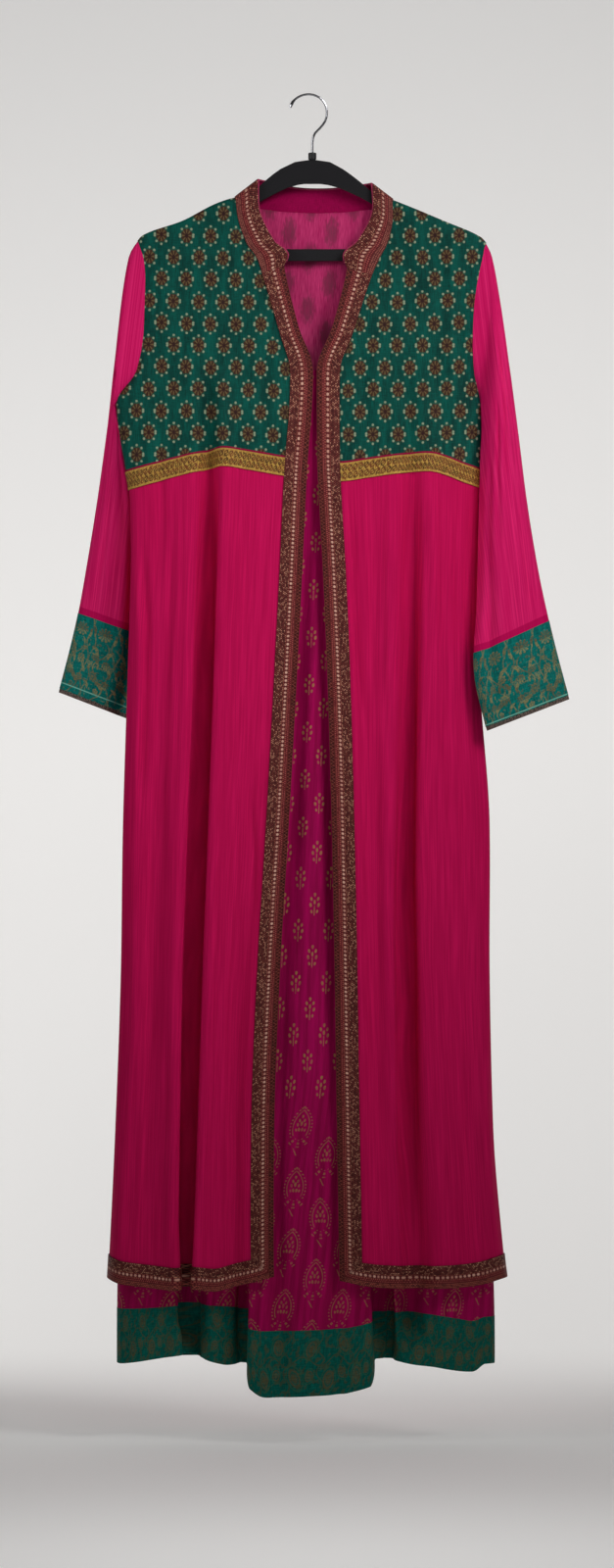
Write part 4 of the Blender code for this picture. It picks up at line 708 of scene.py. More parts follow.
# Creases of the sleeves: round the arm (0 at the shoulder, a quarter in front,
# a half at the underarm), height
SLEEVE_CREASES = {
    "right": [
        dict(path=[(0.10, -230), (0.16, -320), (0.15, -430)], wide=0.018, deep=3.4, fade=50),
        dict(path=[(0.20, -300), (0.24, -380), (0.30, -450)], wide=0.020, deep=3.6, fade=50),
        dict(path=[(0.07, -330), (0.10, -430), (0.09, -560)], wide=0.016, deep=2.6, fade=60),
        dict(path=[(0.16, -450), (0.17, -540), (0.15, -650)], wide=0.016, deep=3.0, fade=60),
        dict(path=[(0.26, -430), (0.28, -540), (0.25, -660)], wide=0.018, deep=3.2, fade=60),
        dict(path=[(0.35, -470), (0.36, -560), (0.33, -670)], wide=0.018, deep=3.6, fade=60),
        dict(path=[(0.41, -480), (0.42, -580), (0.41, -680)], wide=0.016, deep=-2.4, fade=60),
        dict(path=[(0.62, -300), (0.66, -420), (0.64, -560)], wide=0.022, deep=3.4, fade=60),
        dict(path=[(0.75, -260), (0.73, -400), (0.76, -540)], wide=0.020, deep=3.0, fade=60),
        dict(path=[(0.86, -240), (0.84, -380), (0.87, -520)], wide=0.020, deep=3.4, fade=60),
        dict(path=[(0.70, -500), (0.69, -590), (0.71, -680)], wide=0.018, deep=2.6, fade=60),
    ],
    "left": [
        dict(path=[(0.08, -240), (0.12, -340), (0.13, -480)], wide=0.018, deep=3.0, fade=50),
        dict(path=[(0.18, -290), (0.20, -400), (0.24, -520)], wide=0.020, deep=3.4, fade=60),
        dict(path=[(0.30, -390), (0.31, -480), (0.29, -600)], wide=0.018, deep=3.2, fade=60),
        dict(path=[(0.13, -520), (0.15, -610), (0.14, -690)], wide=0.016, deep=2.8, fade=60),
        dict(path=[(0.25, -540), (0.26, -620), (0.25, -700)], wide=0.016, deep=2.6, fade=60),
        dict(path=[(0.38, -470), (0.38, -580), (0.36, -700)], wide=0.018, deep=3.4, fade=60),
        dict(path=[(0.60, -330), (0.63, -450), (0.62, -600)], wide=0.022, deep=3.4, fade=60),
        dict(path=[(0.74, -270), (0.72, -420), (0.75, -570)], wide=0.020, deep=3.0, fade=60),
        dict(path=[(0.88, -250), (0.86, -390), (0.88, -540)], wide=0.020, deep=3.2, fade=60),
        dict(path=[(0.68, -520), (0.70, -610), (0.69, -700)], wide=0.018, deep=2.6, fade=60),
    ],
}


# Folds of the cuffs: as above
CUFF_FOLDS = {
    "right": [
        dict(path=[(0.318, -500), (0.326, -600), (0.330, -700), (0.334, -810)], wide=0.028, deep=[3.0, 8.0, 13.0, 14.0], fade=40),
        dict(path=[(0.21, -640), (0.20, -720), (0.19, -790)], wide=0.03, deep=-1.8, fade=40),
        dict(path=[(0.66, -640), (0.67, -720), (0.66, -790)], wide=0.03, deep=4.0, fade=40),
    ],
    "left": [
        dict(path=[(0.37, -640), (0.37, -720), (0.36, -800)], wide=0.028, deep=3.5, fade=40),
        dict(path=[(0.16, -660), (0.17, -740), (0.17, -810)], wide=0.03, deep=2.4, fade=40),
        dict(path=[(0.64, -640), (0.66, -720), (0.66, -790)], wide=0.03, deep=4.0, fade=40),
    ],
}


def array(points):
    return np.array([tuple(p) for p in points], float)


def slopes(t, p, closed):
    """Slopes at the points of some curves, calm where the points turn sharply."""
    d = np.diff(p, axis=1) / np.diff(t, axis=1)[..., None]
    if closed:
        d = np.concatenate([d[:, -2:], d, d[:, :2]], 1)
    elif d.shape[1] == 1:
        d = np.repeat(d, 5, 1)
    else:
        a = 2 * d[:, :1] - d[:, 1:2]
        b = 2 * d[:, -1:] - d[:, -2:-1]
        d = np.concatenate([2 * a - d[:, :1], a, d, b, 2 * b - d[:, -1:]], 1)
    before, left, right, after = d[:, :-3], d[:, 1:-2], d[:, 2:-1], d[:, 3:]
    a = np.abs(after - right) + np.abs(after + right) / 2 + 1e-9
    b = np.abs(left - before) + np.abs(left + before) / 2 + 1e-9
    return (a * left + b * right) / (a + b)


def refine(p, cells, closed=False):
    """Rows of points on smooth curves through rows of given points, with cells[i] steps from point i to the next."""
    p = np.asarray(p, float)
    if closed:
        p = np.concatenate([p, p[:, :1]], 1)
    step = np.maximum(np.linalg.norm(np.diff(p, axis=1), axis=2), 1e-3)
    t = np.concatenate([np.zeros((len(p), 1)), np.cumsum(step, 1)], 1)
    s = slopes(t, p, closed)
    out = []
    for i, n in enumerate(cells):
        h = (t[:, i + 1] - t[:, i])[:, None, None]
        u = (np.arange(n) / n)[None, :, None]
        a, b = p[:, i][:, None], p[:, i + 1][:, None]
        ma, mb = s[:, i][:, None] * h, s[:, i + 1][:, None] * h
        out.append(a * (1 + 2 * u) * (1 - u) ** 2 + ma * u * (1 - u) ** 2 + b * u * u * (3 - 2 * u) - mb * u * u * (1 - u))
    if not closed:
        out.append(p[:, -1:])
    return np.concatenate(out, 1)


def starts(cells):
    return np.concatenate([[0], np.cumsum(cells)]).astype(int)


def cells_of(cells):
    """For each step, the space that it is in."""
    return np.repeat(np.arange(len(cells)), cells)


def smoothstep(x, low, high):
    t = np.clip((x - low) / (high - low), 0, 1)
    return t * t * (3 - 2 * t)


def ripples(u, v, seed):
    """Smooth noise from -1 to 1 over a plane."""
    iu, iv = np.floor(u), np.floor(v)
    fu, fv = u - iu, v - iv
    fu, fv = fu * fu * (3 - 2 * fu), fv * fv * (3 - 2 * fv)

    def at(a, b):
        h = np.sin(a * 127.1 + b * 311.7 + seed * 74.7) * 43758.5453
        return (h - np.floor(h)) * 2 - 1

    top = at(iu, iv) * (1 - fu) + at(iu + 1, iv) * fu
    low = at(iu, iv + 1) * (1 - fu) + at(iu + 1, iv + 1) * fu
    return top * (1 - fv) + low * fv


def shoulder_line(side):
    """x and z along the smooth top of a shoulder."""
    table = np.array([[row["x"], row["z"]] for row in SHOULDER[side]], float)
    return refine(table[None], [12] * (len(table) - 1))[0]


def over_shoulder(block, side, out):
    """Rounds the cloth over the shoulder's edge: out is -1 in front and 1 behind."""
    line = shoulder_line(side)
    if line[0, 0] > line[-1, 0]:
        line = line[::-1]
    n = LINE_CELLS[0]
    for r in range(n + 1):
        turn = math.pi / 2 * r / n
        block[r, :, 1] = out * ARM_FACE * math.sin(turn)
        block[r, :, 2] = np.interp(block[r, :, 0], line[:, 0], line[:, 1]) - OVER * (1 - math.cos(turn))
    return block


class Cloth:
    """One layer of the garment: grids of points shared along their edges, each quad marked by the spaces of the cut that it lies in."""

    def __init__(self):
        self.blocks = []
        self.first = 0

    def grid(self, points, down, across, rows, columns, closed=False):
        """points (rows, columns, 3); down and across are the lengths along the cloth at each row and column; rows and columns number the spaces of the cut that each step is in."""
        r, c = points.shape[:2]
        ids = np.arange(r * c).reshape(r, c) + self.first
        self.first += r * c
        if closed:
            ids = np.concatenate([ids, ids[:, :1]], 1)
        quads = np.stack([ids[:-1, :-1], ids[:-1, 1:], ids[1:, 1:], ids[1:, :-1]], -1)
        v, u = np.meshgrid(down, across, indexing="ij")
        layout = np.stack([u, v], -1)
        corners = np.stack([layout[:-1, :-1], layout[:-1, 1:], layout[1:, 1:], layout[1:, :-1]], 2)
        row, column = np.meshgrid(rows, columns, indexing="ij")
        self.blocks.append((points.reshape(-1, 3), quads.reshape(-1, 4), corners.reshape(-1, 4, 2), row.ravel(), column.ravel()))

    def close(self, outward):
        """Joins the grids. outward(middles) gives a direction out of the cloth for each quad."""
        points = np.concatenate([b[0] for b in self.blocks])
        quads = np.concatenate([b[1] for b in self.blocks])
        self.corners = np.concatenate([b[2] for b in self.blocks])
        self.rows = np.concatenate([b[3] for b in self.blocks])
        self.columns = np.concatenate([b[4] for b in self.blocks])
        _, first, inverse = np.unique(np.round(points * 500).astype(np.int64), axis=0, return_index=True, return_inverse=True)
        self.points = points[first]
        self.quads = inverse.reshape(-1)[quads]
        middles = self.points[self.quads].mean(1)
        n = self.quad_normals()
        wrong = np.einsum("ij,ij->i", n, outward(middles)) < 0
        self.quads[wrong] = self.quads[wrong][:, ::-1]
        self.corners[wrong] = self.corners[wrong][:, ::-1]
        self.normals()

    def quad_normals(self):
        p = self.points[self.quads]
        return np.cross(p[:, 2] - p[:, 0], p[:, 3] - p[:, 1])

    def normals(self):
        n = self.quad_normals()
        out = np.zeros_like(self.points)
        for k in range(4):
            np.add.at(out, self.quads[:, k], n)
        flat = (np.abs(self.points[:, 1]) < 1e-6) & (self.points[:, 2] > -195)
        out[flat, 1] = 0  # along the shoulder the wall stands in the seam's plane
        self.normal = out / np.maximum(np.linalg.norm(out, axis=1), 1e-9)[:, None]

    def move(self, out):
        self.points = self.points + self.normal * out[:, None]
        self.normals()


def crease_depth(creases, face, x, z, wider=1.0):
    """How far the creases of a face take the cloth in at some points."""
    out = np.zeros_like(x)
    for c in creases:
        if c.get("face", face) != face:
            continue
        path = np.array(c["path"], float)
        centre = np.interp(-z, -path[:, 1], path[:, 0])
        ends = smoothstep(path[0, 1] - z, -c["fade"] * 0.35, c["fade"]) * smoothstep(z - path[-1, 1], -c["fade"] * 0.35, c["fade"])
        deep = c["deep"]
        if isinstance(deep, list):
            deep = np.interp(-z, -path[:, 1], deep)
        wide = c["wide"]
        if isinstance(wide, list):
            wide = np.interp(-z, -path[:, 1], wide)
        near = (x - centre) / (wide * wider)
        profile = np.exp(-near * near) - 0.32 * np.exp(-((near - 1.9) / 1.3) ** 2) - 0.25 * np.exp(-((near + 2.1) / 1.4) ** 2)
        out -= deep * profile * ends
    return out


def hang(x, z, face, seed):
    """The small uneven vertical ripples of thin cloth, stronger down the skirt."""
    strength = 0.25 + 0.75 * smoothstep(-z, 470, 760)
    fine = ripples(x / 9.0 + seed, z / 320.0, seed) * 0.14
    finer = ripples(x / 5.2 + seed * 3, z / 220.0, seed + 5) * 0.07
    wide = ripples(x / 34.0 + seed, z / 520.0, seed + 9) * 1.5
    return strength * (fine + finer + wide)


def faces_of(cloth):
    x, y, z = cloth.points.T
    return x, y, z, smoothstep(-y, 2, 16), smoothstep(y, 2, 16)


# ------------------------------------------------------------------- the coat
def coat_columns():
    """The coat's own lines down, dense in rows: front columns by side and place, back columns by place."""
    front = {}
    for side in ("right", "left"):
        for place in range(len(down_names(side))):
            first = 5 if place < 2 else 0
            points = [yoke_point(side, line, place) for line in range(first, LINES)]
            points += [skirt_point(side, level, place) for level in range(1, len(LEVELS))]
            front[side, place] = refine(array(points)[None], COAT_ROWS[first:])[0]
    back = []
    for place in range(len(TOPS)):
        points = [back_yoke_point(line, place) for line in range(LINES)]
        points += [back_skirt_point(level, place) for level in range(1, len(LEVELS))]
        back.append(refine(array(points)[None], COAT_ROWS)[0])
    return front, back


def lengths(block):
    """Mean length along the rows at each column of a block."""
    step = np.linalg.norm(np.diff(block, axis=1), axis=2).mean(0)
    return np.concatenate([[0], np.cumsum(step)])


def heights(block):
    step = np.linalg.norm(np.diff(block, axis=0), axis=2).mean(1)
    return np.concatenate([[0], np.cumsum(step)])


def layer(front, back, rows, middle=None):
    """A whole layer: the yokes above the underarm, and from there down one cloth round the body. With a middle column the opening is closed."""
    start = starts(rows)
    under, corner = start[LINES - 2], start[5]
    last = {side: len(down_names(side)) - 1 for side in ("right", "left")}

    def column(side, place):  # from the row where it begins
        return front[side, place], start[5] if place < 2 else 0

    def stack(side, places, low, high):
        out = []
        for place in places:
            points, begins = column(side, place)
            out.append(points[low - begins:high - begins])
        return np.stack(out, 1)

    end = start[-1] + 1
    right = stack("right", range(last["right"], -1, -1), under, end)
    left = stack("left", range(last["left"] + 1), under, end)
    behind = np.stack([b[under:end] for b in back], 1)
    cells = {side: ACROSS[side] for side in ("right", "left")}
    if middle is None:
        # from the wearer's right edge round the back to the left edge
        ring = np.concatenate([right[:, ::-1], behind[:, 1:-1], left[:, ::-1]], 1)
        spaces = cells["right"] + ACROSS_BACK + cells["left"][::-1]
        dense = refine(ring, spaces)
        right_first, right_turn = 0, False
        back_first = sum(cells["right"])
        left_first = back_first + sum(ACROSS_BACK)
    else:
        # from the wearer's right side across the front to the left side and round the back
        ring = np.concatenate([right, middle[:, None], left, behind[:, -2:0:-1]], 1)
        spaces = cells["right"][::-1] + [ACROSS_INNER_MIDDLE] * 2 + cells["left"] + ACROSS_BACK[::-1]
        dense = refine(ring, spaces, closed=True)
        right_first, right_turn = 0, True
        left_first = sum(cells["right"]) + 2 * ACROSS_INNER_MIDDLE
        back_first = left_first + sum(cells["left"])
    across = lengths(np.concatenate([dense, dense[:, :1]], 1) if middle is not None else dense)
    numbers = cells_of(spaces)

    # the yokes, above the underarm, with their last row on the ring's first
    blocks = []
    for side in ("right", "left"):
        places = list(range(last[side] + 1))
        own = cells[side]
        flip = right_turn if side == "right" else not right_turn
        first = right_first if side == "right" else left_first
        low = refine(stack(side, places, corner, under + 1), own)
        high = refine(stack(side, places[2:], 0, corner + 1), own[2:])
        if middle is None:
            over_shoulder(high, side, -1)
        if flip:
            low, high = low[:, ::-1], high[:, ::-1]
        wide = sum(own)
        low[-1] = dense[0, first:first + wide + 1]
        skip = sum(own[:2])
        part = slice(0, wide + 1 - skip) if flip else slice(skip, wide + 1)
        high[-1] = low[0, part]
        column_numbers = numbers[first:first + wide]
        where = across[first:first + wide + 1]
        steps = slice(part.start, part.stop - 1)
        blocks.append((low, corner, under, column_numbers, where))
        blocks.append((high, 0, corner, column_numbers[steps], where[part]))
    high = refine(np.stack([b[:under + 1] for b in back], 1), ACROSS_BACK)
    if middle is None:
        edge = starts(ACROSS_BACK)
        turn = len(BACK_SHOULDER)
        over_shoulder(high[:, :edge[turn] + 1], "right", 1)
        over_shoulder(high[:, edge[-turn - 1]:], "left", 1)
    if right_turn:
        high = high[:, ::-1]
    wide = sum(ACROSS_BACK)
    if right_turn:
        high[-1] = np.concatenate([dense[0, back_first:], dense[0, :1]])
    else:
        high[-1] = dense[0, back_first:back_first + wide + 1]
    blocks.append((high, 0, under, numbers[back_first:back_first + wide], across[back_first:back_first + wide + 1]))

    down = np.concatenate([heights(blocks[1][0]), heights(blocks[0][0])[1:] + heights(blocks[1][0])[-1]])
    down = np.concatenate([down, heights(dense)[1:] + down[-1]])
    cloth = Cloth()
    row_numbers = cells_of(rows)
    for block, top, bottom, column_numbers, where in blocks:
        cloth.grid(block, down[top:bottom + 1], where, row_numbers[top:bottom], column_numbers)
    cloth.grid(dense, down[under:], across, row_numbers[under:], numbers, closed=middle is not None)
    cloth.across, cloth.down, cloth.spaces = across, down, starts(spaces)
    cloth.row_starts = start
    cloth.close(lambda m: np.stack([np.sign(m[:, 0]) * np.clip(np.abs(m[:, 0]) / 150 - 1.2, 0, 1) * 0.3, m[:, 1], 0 * m[:, 0]], 1))
    return cloth


def make_coat():
    front, back = coat_columns()
    coat = layer(front, back, COAT_ROWS)
    x, y, z, before, behind = faces_of(coat)
    skirt = smoothstep(-z, 486, 520)
    edge = np.minimum(np.abs(x - np.interp(-z, *opening("right"))), np.abs(x - np.interp(-z, *opening("left"))))
    calm = 0.25 + 0.75 * smoothstep(edge, 20, 60)
    hem = 1 - 0.5 * smoothstep(-z, 1440, 1530)
    out = before * skirt * hem * (0.72 * crease_depth(CREASES, "front", x, z) + calm * hang(x, z, "front", 1))
    out += behind * skirt * hem * (crease_depth(CREASES, "back", x, z) + hang(x, z, "back", 4))
    yoke = 1 - smoothstep(-z, 440, 480)
    out += before * yoke * crease_depth(YOKE_CREASES, "front", x, z) + behind * yoke * crease_depth(YOKE_CREASES, "back", x, z)
    out += (before + behind) * yoke * 0.5 * ripples(x / 42, z / 60, 12)
    out += before * crease_depth(LONG_FOLDS, "front", x, z) + behind * crease_depth(LONG_FOLDS, "back", x, z)
    coat.move(out)
    return coat


def opening(side):
    """Heights (downward) and x of the front edge."""
    rows = sorted(SKIRT[side], key=lambda row: -row["z"])
    return [-row["z"] for row in rows], [row["edge"] for row in rows]


# ---------------------------------------------------------- the inner dress
def make_inner():
    front = {}
    for side in ("right", "left"):
        for place in range(len(down_names(side))):
            first = 5 if place < 2 else 0
            points = [inner_yoke_point(side, line, place) for line in range(first, LINES)]
            points += [inner_skirt_point(side, level, place) for level in range(len(INNER_LEVELS) + 2)]
            front[side, place] = refine(array(points)[None], INNER_ROWS[first:])[0]
    back = []
    for place in range(len(TOPS)):
        points = [inner_back_yoke_point(line, place) for line in range(LINES)]
        points += [inner_back_skirt_point(level, place) for level in range(len(INNER_LEVELS) + 2)]
        back.append(refine(array(points)[None], INNER_ROWS)[0])
    middle = refine(array([middle_point(level) for level in range(len(INNER_LEVELS) + 4)])[None], INNER_ROWS[LINES - 2:])[0]
    inner = layer(front, back, INNER_ROWS, middle)
    # the back's upper edge meets the collar
    inner.points[:, 2] += 3.2 * smoothstep(inner.points[:, 1], 2, 8) * smoothstep(inner.points[:, 2], -172, -156) * smoothstep(-np.abs(inner.points[:, 0]), -92, -70)
    # the fold in the middle of the hem stands out with steep sides
    x, y, z, before, behind = faces_of(inner)
    steep = before * smoothstep(-z, 1330, 1500)
    inner.points[:, 0] += steep * (np.interp(x, *FOLD_SIDES) - x)
    inner.normals()
    x, y, z, before, behind = faces_of(inner)
    left, right = np.interp(-z, *opening("left")), np.interp(-z, *opening("right"))
    covered = np.maximum(smoothstep(x - left, -4, 10), smoothstep(right - x, -4, 10)) * (1 - smoothstep(-z, 1470, 1520))
    skirt = smoothstep(-z, 486, 520)
    coat_out = 0.72 * crease_depth(CREASES, "front", x, z) + hang(x, z, "front", 1)
    own = crease_depth(INNER_CREASES, "front", x, z) + 0.7 * ripples(x / 16, z / 300, 21) * smoothstep(-z, 700, 1000)
    under_hem = np.maximum(smoothstep(x - left, -4, 10), smoothstep(right - x, -4, 10)) * (1 - smoothstep(-z, 1562, 1590))
    own = np.where(own > 0, own * (1 - under_hem), own)
    out = before * skirt * (np.minimum(coat_out, 0) * covered + own * (1 - covered))
    back_out = np.minimum(crease_depth(CREASES, "back", x, z) + hang(x, z, "back", 4), 0) * (1 - smoothstep(-z, 1470, 1520))
    out += behind * skirt * (back_out + crease_depth(INNER_CREASES, "back", x, z) * smoothstep(-z, 1480, 1530))
    # along both edges of the opening it hangs back, in their shade
    out -= before * skirt * (7.0 * np.exp(-((x - right - 3) / 14) ** 2) + 5.5 * np.exp(-((x - left + 1) / 8) ** 2)) * smoothstep(left - right, 6, 30)
    # under the coat's long folds it is pushed in further, and over a wider strip
    for face, weight in (("front", smoothstep(-y, 0, 8)), ("back", smoothstep(y, 0, 8))):
        deepest = np.minimum(crease_depth(LONG_FOLDS, face, x, z), crease_depth(LONG_FOLDS, face, x, z, 1.4))
        out += weight * (1.12 * np.minimum(deepest, 0) - 6.0 * smoothstep(-deepest, 0.5, 5.0))
    inner.move(out)
    # the back's hem hangs a little higher than the front's
    inner.points[:, 2] += 12.0 * behind * smoothstep(-z, 1500, 1640)
    return inner


# --------------------------------------------------------------- the sleeves
def sleeve_rings(side, armhole):
    """Rings of points down a sleeve, the first of them on the armhole. Its points start as the armhole's are spaced and even out down the arm."""
    rings = [armhole]
    count = len(armhole)
    deep = (armhole[0] - armhole[count // 2]).length
    for row in SLEEVE[side]:
        outer = Vector((row["outer_x"], 0, row["outer_z"]))
        inner = Vector((row["inner_x"], 0, row["inner_z"]))
        ring = []
        for i in range(count):
            turn = 2 * math.pi * i / count
            even = (1 - math.cos(turn)) / 2
            share = between(min(1.0, (armhole[i] - armhole[0]).length / deep), even, row["even"])
            round_y = 2 * math.sqrt(max(0.0, share * (1 - share)))
            p = outer.lerp(inner, share)
            ring.append(Vector((p.x, row["back"] - row["half"] * math.copysign(round_y, math.sin(turn)), p.z)))
        rings.append(ring)
    return rings


def make_sleeve(side):
    arm = len(down_names(side)) - 1
    behind = 0 if side == "right" else len(TOPS) - 1
    lines = list(range(LINES - 1))
    hole = [yoke_point(side, line, arm) for line in lines]
    hole += [back_yoke_point(line, behind) for line in lines[-2:0:-1]]
    clear = [ARMHOLE_CLEAR[min(i, len(hole) - i)] for i in range(len(hole))]
    hole = [p + Vector((sign(side) * c, 0, 0)) for p, c in zip(hole, clear)]
    rings = np.stack([array(ring) for ring in sleeve_rings(side, hole)], 0)  # (rings, points, 3)
    dense = refine(rings.transpose(1, 0, 2), DOWN_ARM).transpose(1, 0, 2)
    dense = refine(dense, ROUND_ARM, closed=True)
    # the first ring lies along the yokes' own edges
    front = [yoke_point(side, line, arm) for line in range(LINES)] + [skirt_point(side, 1, arm)]
    back = [back_yoke_point(line, behind) for line in range(LINES)] + [back_skirt_point(1, behind)]
    a = refine(array(front)[None], ROUND_ARM[:7] + [1, 1])[0][:sum(ROUND_ARM[:7]) + 1]
    b = refine(array(back)[None], ROUND_ARM[:6:-1] + [1, 1])[0][:sum(ROUND_ARM[7:]) + 1]
    edge = np.concatenate([a, b[::-1][1:-1]])
    edge[:, 0] -= sign(side) * 0.8
    shift = edge - dense[0]
    for r in range(8):
        dense[r] += shift * (1 - r / 8) ** 2
    # even places round the arm, from the ring at the elbow
    ring = dense[sum(DOWN_ARM[:5])]
    step = np.linalg.norm(np.diff(np.concatenate([ring, ring[:1]]), axis=0), axis=1)
    turn = np.concatenate([[0], np.cumsum(step)[:-1]]) / step.sum()
    cloth = Cloth()
    across = lengths(np.concatenate([dense, dense[:, :1]], 1))
    down = heights(dense)
    cloth.grid(dense, down, across, cells_of(DOWN_ARM), cells_of(ROUND_ARM), closed=True)
    cloth.across, cloth.down, cloth.row_starts = across, down, starts(DOWN_ARM)
    axis = dense.mean(1)

    def outward(m):
        middle = np.stack([np.interp(-m[:, 2], -axis[:, 2], axis[:, k]) for k in range(3)], 1)
        return (m - middle) * np.array([1, 1, 0.2])

    flat = dense.reshape(-1, 3)
    turns = np.tile(turn, len(dense))
    cloth.close(outward)
    _, first = np.unique(np.round(flat * 500).astype(np.int64), axis=0, return_index=True)
    at = turns[first]
    z = cloth.points[:, 2]
    low = np.interp(at, [0, 0.5, 1], [SLEEVE[side][6]["outer_z"], SLEEVE[side][6]["inner_z"], SLEEVE[side][6]["outer_z"]])
    ease = smoothstep(-z, 215, 300) * (1 - 0.65 * smoothstep(low - z, -30, 5))
    out = 0.62 * crease_depth(SLEEVE_CREASES[side], "", at, z) + 0.7 * ripples(at * 26, z / 170, 31) + 0.35 * ripples(at * 55, z / 110, 37)
    drag = 0.45 * ripples((z + 0.8 * np.abs(cloth.points[:, 0])) / 34, at * 3, 41) * smoothstep(-z, 205, 240) * (1 - smoothstep(-z, 330, 430))
    folded = smoothstep(low - z, -240, -60)
    cloth.move(ease * out + drag + folded * crease_depth(CUFF_FOLDS[side], "", at, z))
    if side == "left":  # it hangs against the body
        cloth.points[:, 0] -= 5.2 * smoothstep(0.16 - np.abs(at - 0.5), 0, 0.16) * smoothstep(-z, 352, 400) * (1 - smoothstep(-z, 740, 820))
        cloth.normals()
    return cloth


# ---------------------------------------------------------------- the collar
def make_collar():
    share = (RIBBON - STRIP) / RIBBON
    columns = []
    for side, lines in (("right", range(5, -1, -1)), ("left", range(0, 6))):
        for line in lines:
            row = YOKE[side][line]
            base = yoke_point(side, line, 2)
            if row["top_x"] is None:
                middle, top = yoke_point(side, line, 1), yoke_point(side, line, 0)
            else:
                out = (0, -ARM_FACE, -8.5, -11.5, -13)[line]
                top = Vector((row["top_x"], out, row["top_z"]))
                middle = base.lerp(top, share)
                if line > 1:
                    middle.y -= 0.8
            columns.append([base, middle, top])
        if side == "right":
            for row, place in zip(BACK_NECK, range(6, 13)):
                base = back_yoke_point(0, place)
                top = Vector((row["top_x"], row["top_out"], row["top_z"]))
                columns.append([base, base.lerp(top, share), top])
    grid = array([p for column in columns for p in column]).reshape(len(columns), 3, 3)
    dense = refine(grid, [5, 2])                       # (columns, rows)
    dense = refine(dense.transpose(1, 0, 2), [7] * (len(columns) - 1))
    dense = dense[::-1]                                # top row first
    # the soft upper edge behind the neck, with a dip
    up = np.linspace(1, 0, len(dense))[:, None]
    x, behind = dense[..., 0], smoothstep(dense[..., 1], 12, 30)
    dense[..., 2] += behind * up * (1.3 * ripples(x / 22, 0 * x, 51) - 4.2 * np.exp(-((x + 8) / 7) ** 2) + 1.6 * np.exp(-((x - 3) / 6) ** 2))
    cloth = Cloth()
    across, down = lengths(dense), heights(dense)
    cloth.grid(dense, down * (RIBBON / down[-1]), across, cells_of([2, 5]), cells_of([7] * (len(columns) - 1)))
    cloth.across, cloth.down = across, down * (RIBBON / down[-1])

    def outward(m):
        side = np.where(np.abs(m[:, 1]) < 8, m[:, 0] - 5.5, 0)
        return np.stack([side, m[:, 1], np.where(m[:, 2] > -128, 10, 0)], 1)

    cloth.close(outward)
    cloth.top = dense[0]
    return cloth


# ------------------------------------------------------------ shells of cloth
def shell(name, cloth, picked, low, high, uv, outside, inside):
    """A thin closed piece over the picked quads of a cloth, from low to high out of its surface, with its pattern's map and a neat map of its own."""
    quads = cloth.quads[picked]
    corners = cloth.corners[picked]
    used, inverse = np.unique(quads, return_inverse=True)
    quads_own = inverse.reshape(-1, 4)
    count = len(used)
    p, n = cloth.points[used], cloth.normal[used]
    pattern = uv(cloth.points[quads], corners)                      # (quads, 4, 2)
    small, large = corners.reshape(-1, 2).min(0), corners.reshape(-1, 2).max(0)
    neat = (corners - small) / np.maximum(large - small, 1e-6)
    front = neat * [0.475, 0.98] + [0.01, 0.01]
    behind = front + [0.505, 0.0]
    # the rim: edges that one quad alone has
    edges = {}
    for q, quad in enumerate(quads_own):
        for k in range(4):
            a, b = int(quad[k]), int(quad[(k + 1) % 4])
            if a != b:
                edges[(a, b)] = (q, k)
    rim = [(a, b, q, k) for (a, b), (q, k) in edges.items() if (b, a) not in edges]
    vertices = np.concatenate([p + n * high, p + n * low]) * MM
    polygons, marks, maps, neats = [], [], [], []
    for q, quad in enumerate(quads_own):
        keep = [k for k in range(4) if quad[k] != quad[k - 1]]
        if len(keep) < 3:
            continue
        polygons.append([int(quad[k]) for k in keep])
        marks.append(0)
        maps.append([pattern[q, k] for k in keep])
        neats.append([front[q, k] for k in keep])
        back_keep = keep[::-1]
        polygons.append([int(quad[k]) + count for k in back_keep])
        marks.append(1)
        maps.append([pattern[q, k] for k in back_keep])
        neats.append([behind[q, k] for k in back_keep])
    middle = np.array([0.2475, 0.5])
    for a, b, q, k in rim:
        j = (k + 1) % 4
        polygons.append([b, a, a + count, b + count])
        marks.append(0)
        maps.append([pattern[q, j], pattern[q, k], pattern[q, k], pattern[q, j]])
        fa, fb = front[q, k], front[q, j]
        away_a = fa + np.sign(fa - middle) * 0.004
        away_b = fb + np.sign(fb - middle) * 0.004
        neats.append([fb, fa, away_a, away_b])
    mesh = bpy.data.meshes.new(name)
    mesh.from_pydata([tuple(v) for v in vertices], [], polygons)
    for title, values in (("cloth", maps), ("OFBake", neats)):
        flat = np.concatenate([np.asarray(v, np.float32).reshape(-1, 2) for v in values])
        layer_made = mesh.uv_layers.new(name=title)
        layer_made.data.foreach_set("uv", flat.ravel())
    mesh.polygons.foreach_set("material_index", np.array(marks, np.int32))
    mesh.materials.append(outside)
    mesh.materials.append(inside)
    mesh.validate()
    mesh.shade_smooth()
    mesh.set_sharp_from_angle(angle=math.radians(60))
    made = bpy.data.objects.new(name, mesh)
    bpy.context.scene.collection.objects.link(made)
    return made


